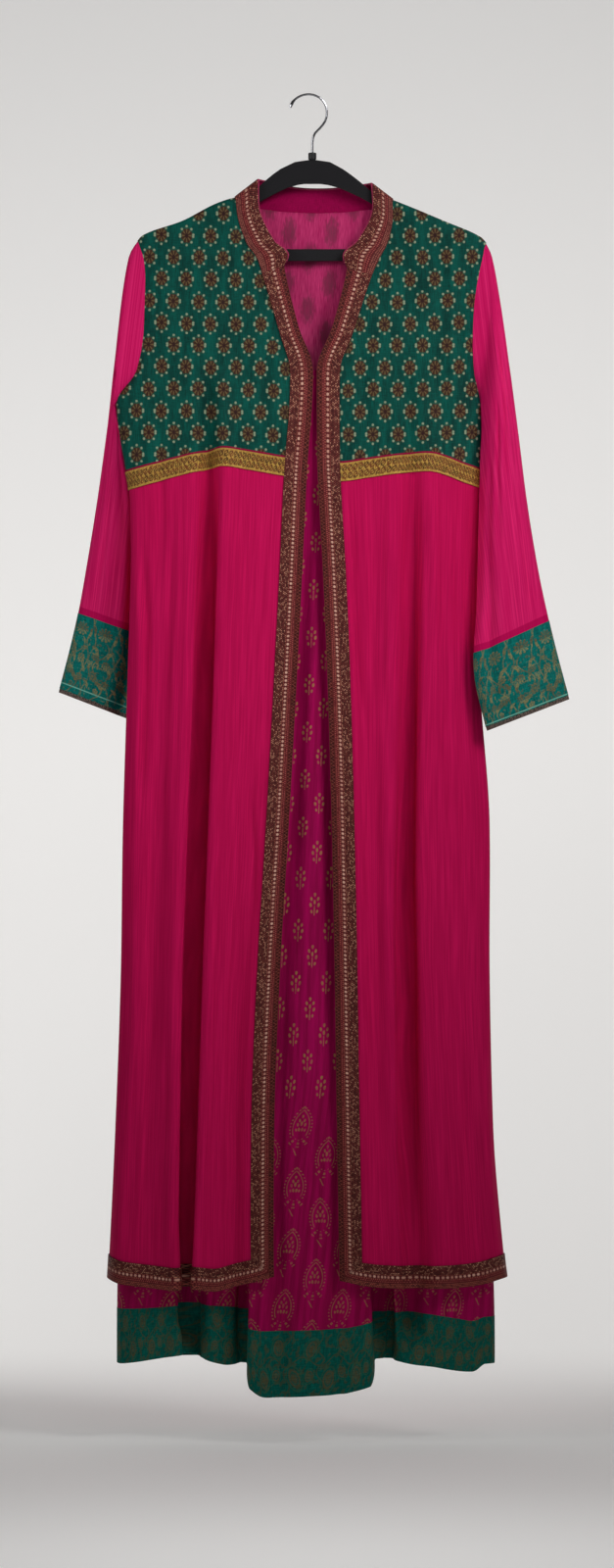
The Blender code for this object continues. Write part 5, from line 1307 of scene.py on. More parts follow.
def tube(name, line, radius, finish, sides=8):
    """A closed tube along some points, in mm."""
    line = np.asarray(line, float)
    along = np.gradient(line, axis=0)
    along /= np.linalg.norm(along, axis=1)[:, None]
    up = np.cross(along, [0, 1, 0.15])
    up /= np.linalg.norm(up, axis=1)[:, None]
    side = np.cross(along, up)
    turn = np.linspace(0, 2 * np.pi, sides, endpoint=False)
    rings = line[:, None] + radius * (np.cos(turn)[None, :, None] * up[:, None] + np.sin(turn)[None, :, None] * side[:, None])
    vertices = rings.reshape(-1, 3) * MM
    polygons, maps = [], []
    length = np.concatenate([[0], np.cumsum(np.linalg.norm(np.diff(line, axis=0), axis=1))])
    for i in range(len(line) - 1):
        for j in range(sides):
            k = (j + 1) % sides
            polygons.append([i * sides + j, i * sides + k, (i + 1) * sides + k, (i + 1) * sides + j])
            maps += [(length[i], j * 1.2), (length[i], (j + 1) * 1.2), (length[i + 1], (j + 1) * 1.2), (length[i + 1], j * 1.2)]
    polygons.append(list(range(sides))[::-1])
    maps += [(0, 0)] * sides
    polygons.append([(len(line) - 1) * sides + j for j in range(sides)])
    maps += [(0, 0)] * sides
    mesh = bpy.data.meshes.new(name)
    mesh.from_pydata([tuple(v) for v in vertices], [], polygons)
    uv = mesh.uv_layers.new(name="cloth")
    uv.data.foreach_set("uv", np.array(maps, np.float32).ravel())
    mesh.materials.append(finish)
    mesh.validate()
    bm = bmesh.new()
    bm.from_mesh(mesh)
    bmesh.ops.recalc_face_normals(bm, faces=bm.faces)
    bm.to_mesh(mesh)
    bm.free()
    mesh.shade_smooth()
    mesh.set_sharp_from_angle(angle=math.radians(60))
    made = bpy.data.objects.new(name, mesh)
    bpy.context.scene.collection.objects.link(made)
    return made


# ------------------------------------------------------------------ materials
def linear(red, green, blue):
    """A colour given as it looks on a screen, 0 to 255."""
    out = []
    for c in (red, green, blue):
        c /= 255
        out.append(c / 12.92 if c <= 0.04045 else ((c + 0.055) / 1.055) ** 2.4)
    return (*out, 1.0)


class Value:
    """An output in a material, with arithmetic that adds nodes."""

    def __init__(self, tree, socket):
        self.tree, self.socket = tree, socket

    def math(self, operation, *others):
        node = self.tree.nodes.new("ShaderNodeMath")
        node.operation = operation
        for slot, item in zip(node.inputs, (self, *others)):
            join(self.tree, item, slot)
        return Value(self.tree, node.outputs[0])

    def __add__(self, other):
        return self.math("ADD", other)

    __radd__ = __add__

    def __sub__(self, other):
        return self.math("SUBTRACT", other)

    def __rsub__(self, other):
        return (self * -1) + other

    def __mul__(self, other):
        return self.math("MULTIPLY", other)

    __rmul__ = __mul__

    def __truediv__(self, other):
        return self.math("DIVIDE", other)

    def sin(self):
        return self.math("SINE")

    def cos(self):
        return self.math("COSINE")

    def abs(self):
        return self.math("ABSOLUTE")

    def floor(self):
        return self.math("FLOOR")

    def fract(self):
        return self.math("FRACT")

    def root(self):
        return self.math("SQRT")

    def least(self, other):
        return self.math("MINIMUM", other)

    def most(self, other):
        return self.math("MAXIMUM", other)

    def ramp(self, low, high, start=0.0, end=1.0):
        """Smoothly from start at low to end at high."""
        node = self.tree.nodes.new("ShaderNodeMapRange")
        node.interpolation_type = "SMOOTHSTEP"
        for slot, item in zip(node.inputs, (self, low, high, start, end)):
            join(self.tree, item, slot)
        return Value(self.tree, node.outputs[0])

    def under(self, edge, soft=0.3):
        """1 where it is below the edge, else 0, with a soft step."""
        return self.ramp(edge - soft, edge + soft, 1.0, 0.0)

    def over(self, edge, soft=0.3):
        return self.ramp(edge - soft, edge + soft)

    def within(self, low, high, soft=0.3):
        return self.over(low, soft) * self.under(high, soft)

    def wave(self, pitch, shift=0.0):
        """From 0 to 1 and back once each pitch."""
        return ((self + shift) * (2 * math.pi / pitch)).cos() * 0.5 + 0.5

    def repeat(self, pitch):
        """Distance from the nearest middle of a run of cells."""
        return ((self / pitch).fract() - 0.5) * pitch


def join(tree, item, slot):
    if isinstance(item, Value):
        tree.links.new(item.socket, slot)
    elif isinstance(item, (tuple, list)):
        slot.default_value = item
    else:
        slot.default_value = item


class Finish:
    """A material under construction: its map in millimetres, noise and mixing."""

    def __init__(self, name):
        self.material = bpy.data.materials.new(name)
        self.material.use_nodes = True
        self.tree = self.material.node_tree
        self.shader = self.tree.nodes["Principled BSDF"]

    def cloth(self):
        """The pattern's map: along and down the cloth in millimetres."""
        node = self.tree.nodes.new("ShaderNodeUVMap")
        node.uv_map = "cloth"
        apart = self.tree.nodes.new("ShaderNodeSeparateXYZ")
        self.tree.links.new(node.outputs[0], apart.inputs[0])
        return Value(self.tree, apart.outputs[0]), Value(self.tree, apart.outputs[1])

    def place(self):
        """The object's own x, y and z in millimetres."""
        node = self.tree.nodes.new("ShaderNodeTexCoord")
        apart = self.tree.nodes.new("ShaderNodeSeparateXYZ")
        self.tree.links.new(node.outputs["Object"], apart.inputs[0])
        return [Value(self.tree, apart.outputs[k]) * 1000.0 for k in range(3)]

    def join3(self, a, b, c=0.0):
        node = self.tree.nodes.new("ShaderNodeCombineXYZ")
        for slot, item in zip(node.inputs, (a, b, c)):
            join(self.tree, item, slot)
        return Value(self.tree, node.outputs[0])

    def noise(self, a, b, seed=0.0, detail=1.0, rough=0.5):
        node = self.tree.nodes.new("ShaderNodeTexNoise")
        node.inputs["Scale"].default_value = 1.0
        node.inputs["Detail"].default_value = detail
        node.inputs["Roughness"].default_value = rough
        self.tree.links.new(self.join3(a, b, seed).socket, node.inputs["Vector"])
        return Value(self.tree, node.outputs[0])

    def chance(self, a, b=0.0):
        """A number from 0 to 1 for each pair of whole numbers."""
        node = self.tree.nodes.new("ShaderNodeTexWhiteNoise")
        node.noise_dimensions = "3D"
        self.tree.links.new(self.join3(a, b, 0.5).socket, node.inputs["Vector"])
        return Value(self.tree, node.outputs[0])

    def mix(self, part, a, b):
        node = self.tree.nodes.new("ShaderNodeMix")
        node.data_type = "RGBA"
        node.clamp_factor = True
        join(self.tree, part, node.inputs[0])
        join(self.tree, a, node.inputs[6])
        join(self.tree, b, node.inputs[7])
        return Value(self.tree, node.outputs[2])

    def done(self, colour, rough=0.7, height=None, metal=None, sheen=0.0, specular=0.35):
        put = self.shader.inputs
        join(self.tree, colour, put["Base Color"])
        join(self.tree, rough, put["Roughness"])
        if metal is not None:
            join(self.tree, metal, put["Metallic"])
        put["Specular IOR Level"].default_value = specular
        put["Sheen Weight"].default_value = sheen
        put["Sheen Roughness"].default_value = 0.5
        if height is not None:  # in millimetres
            node = self.tree.nodes.new("ShaderNodeBump")
            node.inputs["Strength"].default_value = 1.0
            node.inputs["Distance"].default_value = 0.001
            join(self.tree, height, node.inputs["Height"])
            self.tree.links.new(node.outputs[0], put["Normal"])
        return self.material


def crinkle(name, deep, light, strength=1.0, seam=None, top=None):
    """Chiffon with a fine uneven crinkle down the cloth. A seam's turned cloth shows through just above v = 0."""
    m = Finish(name)
    u, v = m.cloth()
    sway = m.noise(u / 70, v / 160, 3.0) * 5
    fine = m.noise((u + sway) / 1.5, v / 90, 1.0, 1.5)
    mid = m.noise((u + sway) / 4.6, v / 380, 5.0, 1.0)
    broad = m.noise((u + sway) / 17, v / 900, 9.0, 1.0)
    tone = fine * 0.62 + mid * 0.26 + broad * 0.14
    colour = m.mix(tone.ramp(0.36, 0.74), deep, light)
    if seam:
        colour = m.mix(v.within(-9.0, 2.0, 0.4) * 0.75, colour, seam)
    if top:
        colour = m.mix(v.under(top, 0.4) * 0.85, colour, linear(132, 4, 54))
    height = (fine * 0.16 + mid * 0.2) * strength
    return m.done(colour, 0.85, height, specular=0.06)


def flat_cloth(name, colour, weave=0.2, other=None):
    """Plain woven cloth seen close."""
    m = Finish(name)
    u, v = m.cloth()
    slub = m.noise(u / 0.9, v / 9, 2.0, 1.0) * 0.6 + m.noise(u / 8, v / 0.9, 6.0, 1.0) * 0.4
    dark = other or tuple(c * 0.7 for c in colour[:3]) + (1.0,)
    return m.done(m.mix(slub.ramp(0.3, 0.7), dark, colour), 0.85, slub * weave, specular=0.06)


def brocade(name):
    """Green brocade with upright flowers in staggered rows, each with eight pale dots close round it."""
    m = Finish(name)
    u, v = m.cloth()
    across, down = 31.8, 28.2
    row = (v / down).floor()
    shift = (row * 0.5).fract() * across
    x, y = (u + shift).repeat(across), v.repeat(down)
    jog = m.chance(((u + shift) / across).floor(), row)
    x, y = x + (jog - 0.5) * 1.8, y + ((jog * 7.0).fract() - 0.5) * 1.8
    warp = m.noise(u / 2.0, v / 2.0, 4.0, 1.0) * 2.0 - 1.0
    px, py = x / 6.9, y / 9.2
    away = (px * px + py * py).root()
    angle = px.math("ARCTAN2", py)
    core = (away + (angle * 8).cos() * 0.07 + warp * 0.07).under(1.0, 0.10)
    spokes = (angle * 8).cos().ramp(-0.2, 0.9) * (away + warp * 0.05).within(0.36, 0.92, 0.10)
    heart = (away + warp * 0.05).under(0.26, 0.08)
    grain = m.noise(u / 1.3, v / 1.3, 3.0, 1.0)

    def dot(along, up):
        dx, dy = x.abs() - along, y.abs() - up
        return (dx * dx + dy * dy * 0.85).root()

    dots = (dot(0.0, 12.1).least(dot(6.1, 8.4)).least(dot(8.4, 1.2)) + warp * 0.35).under(1.45, 0.6)
    halo = (away + warp * 0.1).within(0.9, 1.32, 0.12)
    weave = m.noise(u / 9, v / 1.1, 1.0, 1.5)
    cross = m.noise(u / 1.1, v / 14, 7.0, 1.0)
    cloudy = m.noise(u / 12, v / 70, 2.0, 1.0)
    ground = m.mix((weave * 0.3 + cross * 0.4 + cloudy * 0.45).ramp(0.38, 0.80), linear(0, 50, 44), linear(0, 92, 80))
    ground = m.mix(halo * 0.22, ground, linear(58, 96, 70))
    brown = m.mix((spokes * 0.8 + grain.ramp(0.5, 0.75) * 0.4).least(1.0), linear(62, 32, 26), linear(118, 96, 60))
    brown = m.mix(heart * 0.8, brown, linear(48, 16, 20))
    colour = m.mix(core * 0.94, ground, brown)
    colour = m.mix(dots * 0.82, colour, linear(158, 170, 140))
    height = weave * 0.10 + cross * 0.12 + core * 0.15 + dots * 0.25 + spokes * 0.1
    return m.done(colour, 0.7, height, specular=0.12)


def cuff_brocade(name):
    """Green brocade with a row of flowers over curling stems; v is the distance below the cuff's upper seam."""
    m = Finish(name)
    u, v = m.cloth()
    warp = m.noise(u / 3, v / 3, 4.0, 1.0) * 2.0 - 1.0
    cell = (u / 31.0).floor()
    fx = u.repeat(31.0)
    x = fx * 1.29 + warp * 0.5
    y = v + (m.noise(u / 9, v / 9, 7.0, 1.0) * 4.0 - 2.0)
    # the flower
    fx, fy = fx + warp * 0.3, v - 16.5 + warp * 0.3
    away = (fx * fx + fy * fy).root()
    angle = fx.math("ARCTAN2", fy)
    flower = (away + (angle * 11).cos() * 0.9).under(8.2, 0.6)
    petals = ((angle * 11).cos().ramp(0.2, 0.8) * away.over(3.4, 0.6)) * -0.9 + 1
    ring = away.within(2.4, 3.2, 0.4)
    # stems that curl to both sides, with leaves and smaller blooms along them
    swing = ((y - 22) * (2 * math.pi / 52.0)).sin() * 9.5
    stem = (x - swing).abs().under(1.0, 0.4) * y.over(27, 1)
    second = (x.abs() - 16.0 + ((y - 30) * (2 * math.pi / 44.0)).cos() * 3.5).abs().under(0.9, 0.4)

    def leaf(along, up, turn, long, wide):
        c, s = math.cos(math.radians(turn)), math.sin(math.radians(turn))
        dx, dy = x - along, y - up
        a, b = dx * c + dy * s, dy * c - dx * s
        bow = b - a * a * 0.035
        return ((a * a) / (long * long) + (bow * bow) / (wide * wide)).root().under(1.0, 0.14)

    def bloom(along, up, size, petal):
        dx, dy = x - along, y - up
        r = (dx * dx + dy * dy).root()
        turn = dx.math("ARCTAN2", dy)
        return (r + (turn * petal).cos() * size * 0.16).under(size, 0.5) * (r.within(size * 0.36, size * 0.52, 0.25) * -0.8 + 1)

    leaves = leaf(-9.5, 38.0, 40, 8.0, 2.3).most(leaf(11.0, 40.0, -55, 7.0, 2.2)).most(leaf(-3.0, 55.0, 70, 7.0, 2.0))
    leaves = leaves.most(leaf(14.5, 62.0, 65, 7.5, 2.2)).most(leaf(-15.0, 60.0, -70, 7.0, 2.2)).most(leaf(3.0, 80.0, 35, 7.5, 2.2)).most(leaf(-14.0, 84.0, 50, 6.0, 2.0))
    leaves = leaves.most(leaf(-16.0, 14.0, 75, 8.0, 2.0)).most(leaf(16.5, 20.0, 100, 8.0, 2.0))
    blooms = bloom(-8.0, 47.0, 5.2, 7).most(bloom(8.5, 54.0, 5.6, 9)).most(bloom(-7.0, 72.0, 6.2, 9)).most(bloom(12.0, 79.0, 5.2, 7)).most(bloom(1.5, 90.0, 3.2, 5))
    ink = (flower * petals * (ring * -0.8 + 1)).most(stem).most(second * 0.8).most(leaves).most(blooms)
    ribs = m.noise(u / 1.3, v / 1.7, 5.0, 1.0)
    ink = ink.most(m.noise(u / 3.4, v / 4.8, 21.0, 1.0).ramp(0.58, 0.64) * 0.6 * y.over(28, 3))
    broken = m.noise(u / 2.6, v / 3.4, 15.0, 1.0).ramp(0.34, 0.46, 0.25, 1.0)
    ink = ink * broken
    weave = m.noise(u / 10, v / 1.1, 1.0, 1.5)
    cross = m.noise(u / 1.1, v / 9, 7.0, 1.0)
    ground = m.mix((weave * 0.5 + cross * 0.5).ramp(0.3, 0.75), linear(0, 84, 80), linear(4, 134, 124))
    thread = m.mix((m.chance(cell, (v / 9).floor()) * 0.5 + ribs * 0.6).ramp(0.2, 0.8), linear(94, 80, 56), linear(146, 136, 90))
    colour = m.mix(ink * (ribs.ramp(0.3, 0.6) * 0.4 + 0.55), ground, thread)
    stitch = v.within(93.4, 94.8, 0.35)
    colour = m.mix(stitch * 0.85, colour, linear(128, 200, 180))
    height = weave * 0.15 + ink * 0.2 - stitch * 0.3
    return m.done(colour, 0.7, height, specular=0.12)


def ribbon(name, foot):
    """Embroidered ribbon: u along it, v from its dark edge, 0 to 29. The last 7 mm are the foot colour."""
    m = Finish(name)
    u, v = m.cloth()
    warp = m.noise(u / 1.6, v / 1.6, 2.0, 1.0) * 1.5 - 0.75

    def specks(pitch, rise, size, seed):
        """Small stitches in staggered rows, each lit or dark by chance."""
        row = (v / rise).floor()
        shift = (row * 0.5).fract() * pitch
        sx = (u + shift + warp * 0.6).repeat(pitch)
        sy = (v + warp * 0.4).repeat(rise)
        lit = m.chance(((u + shift) / pitch).floor() + seed, row)
        return (sx * sx * 0.7 + sy * sy).root().under(size, 0.3) * lit.ramp(-0.4, 0.6), lit

    # the dark field, full of metallic stitches
    stitch, pick = specks(2.4, 1.8, 0.7, 0.0)
    gold = m.mix(pick.ramp(0.5, 0.95), linear(132, 58, 50), linear(206, 140, 114))
    ground = m.mix(m.noise(u / 1.4, v / 1.4, 5.0, 1.0).ramp(0.3, 0.7), linear(30, 4, 8), linear(64, 10, 16))
    dark = m.mix(stitch, ground, gold)
    # the beads, with a row of small stitches on both sides
    by = v - 15.0
    bx = (u + warp * 0.4).repeat(5.2)
    bead = ((bx * bx * 0.8 + by * by * 0.8).root() + warp * 0.2).under(1.5, 0.45)
    beads = m.mix(bead, linear(92, 18, 28), m.mix(m.chance((u / 5.2).floor()), linear(190, 128, 112), linear(228, 180, 158)))
    ex = u.repeat(2.6)
    edge = ((ex * ex + (by.abs() - 2.6) * (by.abs() - 2.6)).root() + warp * 0.2).under(0.72, 0.3)
    beads = m.mix(edge * 0.7, beads, linear(160, 92, 74))
    # the red stripe with specks
    speck, lit = specks(2.6, 2.2, 0.72, 31.0)
    red = m.mix(speck * 0.8, m.mix(m.noise(u / 2, v / 2, 9.0, 1.0), linear(66, 2, 12), linear(98, 8, 24)), linear(188, 94, 86))
    # the foot
    grain, some = specks(2.2, 1.9, 0.72, 77.0)
    last = m.mix(grain, foot[0], foot[1])
    colour = m.mix(v.over(12.0, 0.3), dark, beads)
    colour = m.mix(v.over(18.2, 0.3), colour, red)
    colour = m.mix(v.over(22.4, 0.3), colour, last)
    raised = stitch * v.under(12.0) * 0.3 + bead * 0.7 * v.within(12, 18.2) + edge * 0.3 * v.within(12, 18.2) + speck * v.over(18.2) * 0.15 + grain * v.over(22.4) * 0.25
    return m.done(colour, 0.6, raised, specular=0.18)


def gold_strip(name):
    """A narrow strip of dull gold zigzag; v across it, 0 to 6.6."""
    m = Finish(name)
    u, v = m.cloth()
    warp = m.noise(u / 1.5, v / 1.5, 2.0, 1.0) * 1.2 - 0.6
    zig = ((u.repeat(4.4).abs() * 1.9 - 2.1) - (v - 3.3) + warp * 0.4).abs().under(0.62, 0.35)
    edge = (v - 3.3).abs().over(2.8, 0.3)
    bits = m.chance((u / 1.5).floor(), (v / 1.4).floor())
    ground = m.mix(bits.ramp(0.3, 0.8), linear(52, 8, 12), linear(88, 20, 22))
    colour = m.mix((zig * (bits * 0.5 + 0.5) + edge * 0.4).least(1.0), ground, linear(152, 76, 62))
    return m.done(colour, 0.6, (zig + edge * 0.5) * 0.35, specular=0.18)


def gold_band(name):
    """The band below the yoke: gold cloth with brown upright curls; u along, v down it, 0 to 23."""
    m = Finish(name)
    u, v = m.cloth()
    warp = m.noise(u / 2.2, v / 3.4, 2.0, 1.5) * 3.2 - 1.6
    x = (u + warp * 0.7).repeat(5.4)
    y = v - 11.5
    curl = (x + (y * (2 * math.pi / 10.0)).sin() * 1.5).abs().under(0.75, 0.35)
    oval_y = y.abs() - 5.0
    oval = ((x * x * 0.6 + oval_y * oval_y * 0.26).root() + warp * 0.2).within(1.2, 1.9, 0.3)
    between = (x.abs() - 3.2).abs().under(0.5, 0.3) * y.repeat(5.2).abs().under(1.8, 0.4)
    bits = m.noise(u / 1.2, v / 4.5, 6.0, 1.0).ramp(0.56, 0.64)
    ink = (curl * y.abs().under(8.8) * 0.9).most(oval * y.abs().under(9.6)).most(between * 0.7).most(bits * 0.75)
    rail = y.abs().over(9.9, 0.3)
    thread = m.noise(u / 0.9, v / 6, 4.0, 1.0)
    ground = m.mix(thread.ramp(0.3, 0.7), linear(150, 108, 42), linear(214, 172, 82))
    colour = m.mix(ink * 0.95, ground, m.mix(m.noise(u / 6, v / 6, 3.0, 1.0).ramp(0.4, 0.6), linear(58, 26, 16), linear(104, 36, 24)))
    colour = m.mix(rail * 0.5, colour, linear(192, 150, 70))
    return m.done(colour, 0.55, ink * -0.3 + rail * 0.2 + thread * 0.12, metal=0.1, specular=0.2)


def inner_cloth(name, wrong_side=False):
    """The inner dress: small gold sprigs, and larger pointed flowers low down. u runs across the slant of the cloth, v is the height."""
    m = Finish(name)
    u, v = m.cloth()
    warp = m.noise(u / 1.5, v / 1.5, 2.0, 1.0) * 1.6 - 0.8
    # sprigs, in a half-drop
    wide, tall, first = (27.0, 66.0, 6.5) if wrong_side else (19.2, 60.6, 4.0)
    column = ((u - first) / wide + 0.5).floor()
    x = (u - first + wide / 2).repeat(wide)
    drop = (column * 0.5).fract() * tall
    # the sprigs stand further apart low down, where the cloth is stretched by its weight
    down = v if wrong_side else v.most(-950.0) + (v.least(-950.0) + 950.0) * 0.913
    y = (down + 636.0 + drop + tall / 2).repeat(tall)
    centre = ((down + 636.0 + drop + tall / 2) / tall).floor() * tall - 636.0 - drop
    ax = x.abs()
    if wrong_side:
        # the print as it shows faintly through the cloth
        soft = m.noise(u / 2.2, v / 9.0, 8.0, 1.0)
        shape = ((x * x) / 112.0 + (y * y) / 430.0).root() + (soft - 0.5) * 1.3
        blur = shape.ramp(0.45, 1.15, 1.0, 0.0)
        fine = m.noise(u / 0.9, v / 14, 1.0, 1.5)
        mid = m.noise(u / 5, v / 120, 5.0, 1.0)
        # the ground is lighter than the right side's ground: painted light that stands in for light shining through the
        # thin cloth
        ground = m.mix((fine * 0.75 + mid * 0.35).ramp(0.3, 0.8), linear(172, 32, 90), linear(214, 66, 124))
        pale = v.ramp(-330.0, -270.0, 0.35, 0.0)
        ground = m.mix(pale * fine.ramp(0.3, 0.7), ground, linear(204, 92, 140))
        colour = m.mix(blur * (fine.ramp(0.25, 0.7) * 0.4 + 0.32), ground, linear(84, 48, 58))
        return m.done(colour, 0.88, fine * 0.2, specular=0.05)

    def dab(along, up, long, size):
        dx, dy = ax * 0.74 - along, y * 0.84 - up - ax * 0.28
        return (dx * dx + dy * dy * long).root().under(size, 0.3)

    sprig = dab(0.0, 10.8, 0.4, 1.15).most(dab(3.1, 5.8, 0.35, 1.05)).most(dab(3.7, -0.4, 0.35, 1.15)).most(dab(2.6, -6.4, 0.4, 1.0)).most(dab(0.0, 3.6, 0.2, 1.0))
    sprig = sprig.most(ax.under(0.5, 0.25) * y.within(-11.0, 0.5, 0.5))
    sprig = sprig * (warp * 0.6 + 0.85).least(1.0) * centre.over(-1245.0, 0.5)
    # the larger flowers: a pointed arch of dots over a fine arch, a spray in it and a fan of leaves under it
    big_column = ((u - 22.5) / 36.0 + 0.5).floor()
    bx = (u - 22.5 + 18.0).repeat(36.0)
    big_drop = (big_column * 0.5).fract() * 2 * 38.5
    by = (v + 1322.0 + big_drop + 38.5).repeat(77.0)
    big_row = ((v + 1322.0 + big_drop + 38.5) / 77.0).floor()
    tone = m.chance(big_column, big_row)
    by = by - 4.0
    bx = bx - by * ((tone - 0.5) * 0.3) + warp * 0.2
    bax = bx.abs()
    arch = ((bax + 17.0) * (bax + 17.0) + by * by).root() - 17.0
    dotted = (arch - 13.4).abs().under(0.85, 0.3) * (by * (2 * math.pi / 4.2)).cos().ramp(-0.1, 0.6) * by.over(-15.0, 1.0)
    line = (arch - 10.2).abs().under(0.55, 0.25) * by.over(-11.0, 1.0)

    def spot(along, up, long, size):
        dx, dy = bax - along, by - up - bax * 0.4
        return (dx * dx + dy * dy * long).root().under(size, 0.3)

    spray = spot(0.0, 13.0, 0.4, 1.3).most(spot(3.0, 7.0, 0.4, 1.3)).most(spot(0.0, 4.0, 0.3, 1.5)).most(spot(4.6, 1.0, 0.4, 1.3)).most(spot(2.0, -4.0, 0.4, 1.4)).most(spot(5.5, -6.0, 0.5, 1.2))
    fx, fy = bx, by + 11.0
    reach = (fx * fx + fy * fy).root()
    turn = fx.math("ARCTAN2", fy * -1)
    fan = (turn * 8).cos().ramp(0.2, 0.7) * reach.within(5.5, 15.0, 0.8) * (reach * (2 * math.pi / 5.0)).cos().ramp(-0.6, 0.2) * turn.abs().under(1.35, 0.1)
    tip = spot(0.0, 24.5, 0.6, 1.2).most(spot(2.6, 22.5, 0.8, 0.9))
    foot_x = bx + 3.0 + (by + 30.0) * 0.6
    foot = foot_x.abs().under(0.8, 0.3) * by.within(-36.0, -27.0, 0.8)
    big = dotted.most(line).most(spray).most(fan).most(tip).most(foot)
    big = big * (warp * 0.5 + 0.85).least(1.0) * (big_row * 77.0 - 1322.0 - big_drop).under(-1300.0, 0.5)
    worn = m.noise(u / 7, v / 7, 12.0, 1.0).ramp(0.3, 0.6) * 0.5 + 0.5
    print_ = (sprig * 0.9 + big * 0.68) * worn
    fine = m.noise(u / 0.9, v / 30, 1.0, 1.5)
    mid = m.noise(u / 6, v / 160, 5.0, 1.0)
    ground = m.mix((fine * 0.4 + mid * 0.7).ramp(0.35, 0.8), linear(142, 0, 66), linear(184, 4, 94))
    colour = m.mix(print_ * 0.95, ground, linear(172, 134, 76))
    return m.done(colour, print_ * -0.1 + 0.8, fine * 0.12 + mid * 0.4 + print_ * 0.1, specular=0.1)


def hem_brocade(name):
    """The green hem band: u along, v down from its upper seam; two rows of upright ovals with vines and leaves between."""
    m = Finish(name)
    u, v = m.cloth()
    warp = m.noise(u / 2.2, v / 2.2, 3.0, 1.0) * 2.6 - 1.3
    sway = m.noise(u / 16, v / 16, 4.0, 1.0) * 6.0 - 3.0

    def ovals(shift, middle, wide, tall):
        x = (u + shift).repeat(33.0) + warp * 0.4
        tilt = m.chance(((u + shift) / 33.0).floor(), middle) - 0.5
        y = v - middle - tilt * 4.0
        x = x + y * tilt * 0.5
        away = ((x * x) / (wide * wide) + (y * y) / (tall * tall)).root() + warp * 0.07
        vein = (y.repeat(3.6).abs() + x * 0.5 - 1.2).abs().under(0.5, 0.35)
        return away.under(1.02, 0.12) * (away.within(0.52, 0.70, 0.08) * -0.8 + 1) * (vein * -0.35 + 1), away.within(1.22, 1.46, 0.08)

    a, a_line = ovals(0.0, 52.0, 5.6, 10.0)
    b, b_line = ovals(16.5, 18.0, 4.8, 8.6)
    c, c_line = ovals(19.0, 47.0, 3.6, 6.0)
    vine = ((v + sway) - 33.0 - (u * (2 * math.pi / 33.0)).sin() * 6.0).abs().under(0.9, 0.4)
    side_vine = ((u + sway + 8.0).repeat(33.0) - (v * (2 * math.pi / 26.0)).sin() * 3.6).abs().under(0.85, 0.4)
    leaves = m.noise((u + v * 0.5) / 4.6, (v - u * 0.2) / 8.0, 6.0, 1.0).ramp(0.53, 0.61)
    weave = m.noise(u / 9, v / 1.0, 1.0, 1.5)
    cross = m.noise(u / 1.1, v / 9, 7.0, 1.0)
    ground = m.mix((weave * 0.5 + cross * 0.5).ramp(0.3, 0.75), linear(0, 74, 66), linear(0, 116, 102))
    olive = m.mix(m.noise(u / 5, v / 5, 8.0, 1.0), linear(60, 66, 42), linear(98, 92, 60))
    colour = m.mix((vine * 0.7).most(side_vine * 0.6).most(leaves * 0.55), ground, olive)
    colour = m.mix(a.most(b).most(c) * 0.75, colour, m.mix(weave, linear(80, 72, 48), linear(110, 100, 66)))
    colour = m.mix(a_line.most(b_line).most(c_line) * 0.4, colour, linear(68, 104, 72))
    height = weave * 0.12 + cross * 0.12 + a.most(b) * 0.15
    return m.done(colour, 0.75, height, specular=0.1)


def lace(name):
    m = Finish(name)
    u, v = m.cloth()
    scallop = (u.repeat(3.6).abs() * 1.0 + v.repeat(2.4).abs() - 1.6).abs().under(0.5, 0.25)
    bits = m.chance((u / 1.8).floor(), (v / 1.6).floor())
    colour = m.mix(scallop * (bits * 0.6 + 0.4), linear(34, 34, 34), linear(150, 124, 112))
    return m.done(colour, 0.55, scallop * 0.4, specular=0.3)


def piping(name):
    m = Finish(name)
    u, v = m.cloth()
    twist = m.noise(u / 2.0, v / 2.0, 1.0, 1.0)
    return m.done(m.mix(twist, linear(140, 30, 66), linear(196, 70, 110)), 0.7, twist * 0.2, specular=0.15)


def flock(name):
    """Black velvet flocking."""
    m = Finish(name)
    x, y, z = m.place()
    nap = m.noise(x / 0.5, z / 0.5, y / 0.5, 2.0)
    colour = m.mix(nap.ramp(0.3, 0.7), linear(24, 24, 25), linear(48, 47, 50))
    return m.done(colour, 0.95, nap * 0.1, sheen=0.05, specular=0.1)


def plain(name, colour, rough, metal=0.0, specular=0.5):
    m = Finish(name)
    return m.done(colour, rough, metal=metal, specular=specular)


# ------------------------------------------------------------ patterns' places
def as_laid(points, corners):
    """Across and down the cloth itself."""
    return corners


def as_seen(points, corners):
    """x and z, with the slight rise of the yoke's rows towards the sides."""
    x, z = points[..., 0], points[..., 2]
    return np.stack([x, z - 0.02 * np.abs(x)], -1)


def slanted(points, corners):
    """x along the slant of the inner cloth, and z."""
    x, z = points[..., 0], points[..., 2]
    drift = 0.045 * (z + 636) + 0.055 * np.minimum(z + 1250, 0)
    return np.stack([x - drift, z], -1)


def along_hem(cloth, top, row=None):
    """Along and down a band that starts at a row, by the cloth's own length there."""
    wider = 1.0
    if row is not None:
        picked = cloth.rows == row
        p, laid = cloth.points[cloth.quads[picked]], cloth.corners[picked]
        wider = np.linalg.norm(p[:, 1] - p[:, 0], axis=1).sum() / np.abs(laid[:, 1, 0] - laid[:, 0, 0]).sum()

    def uv(points, corners):
        return np.stack([corners[..., 0] * wider, corners[..., 1] - top], -1)
    return uv


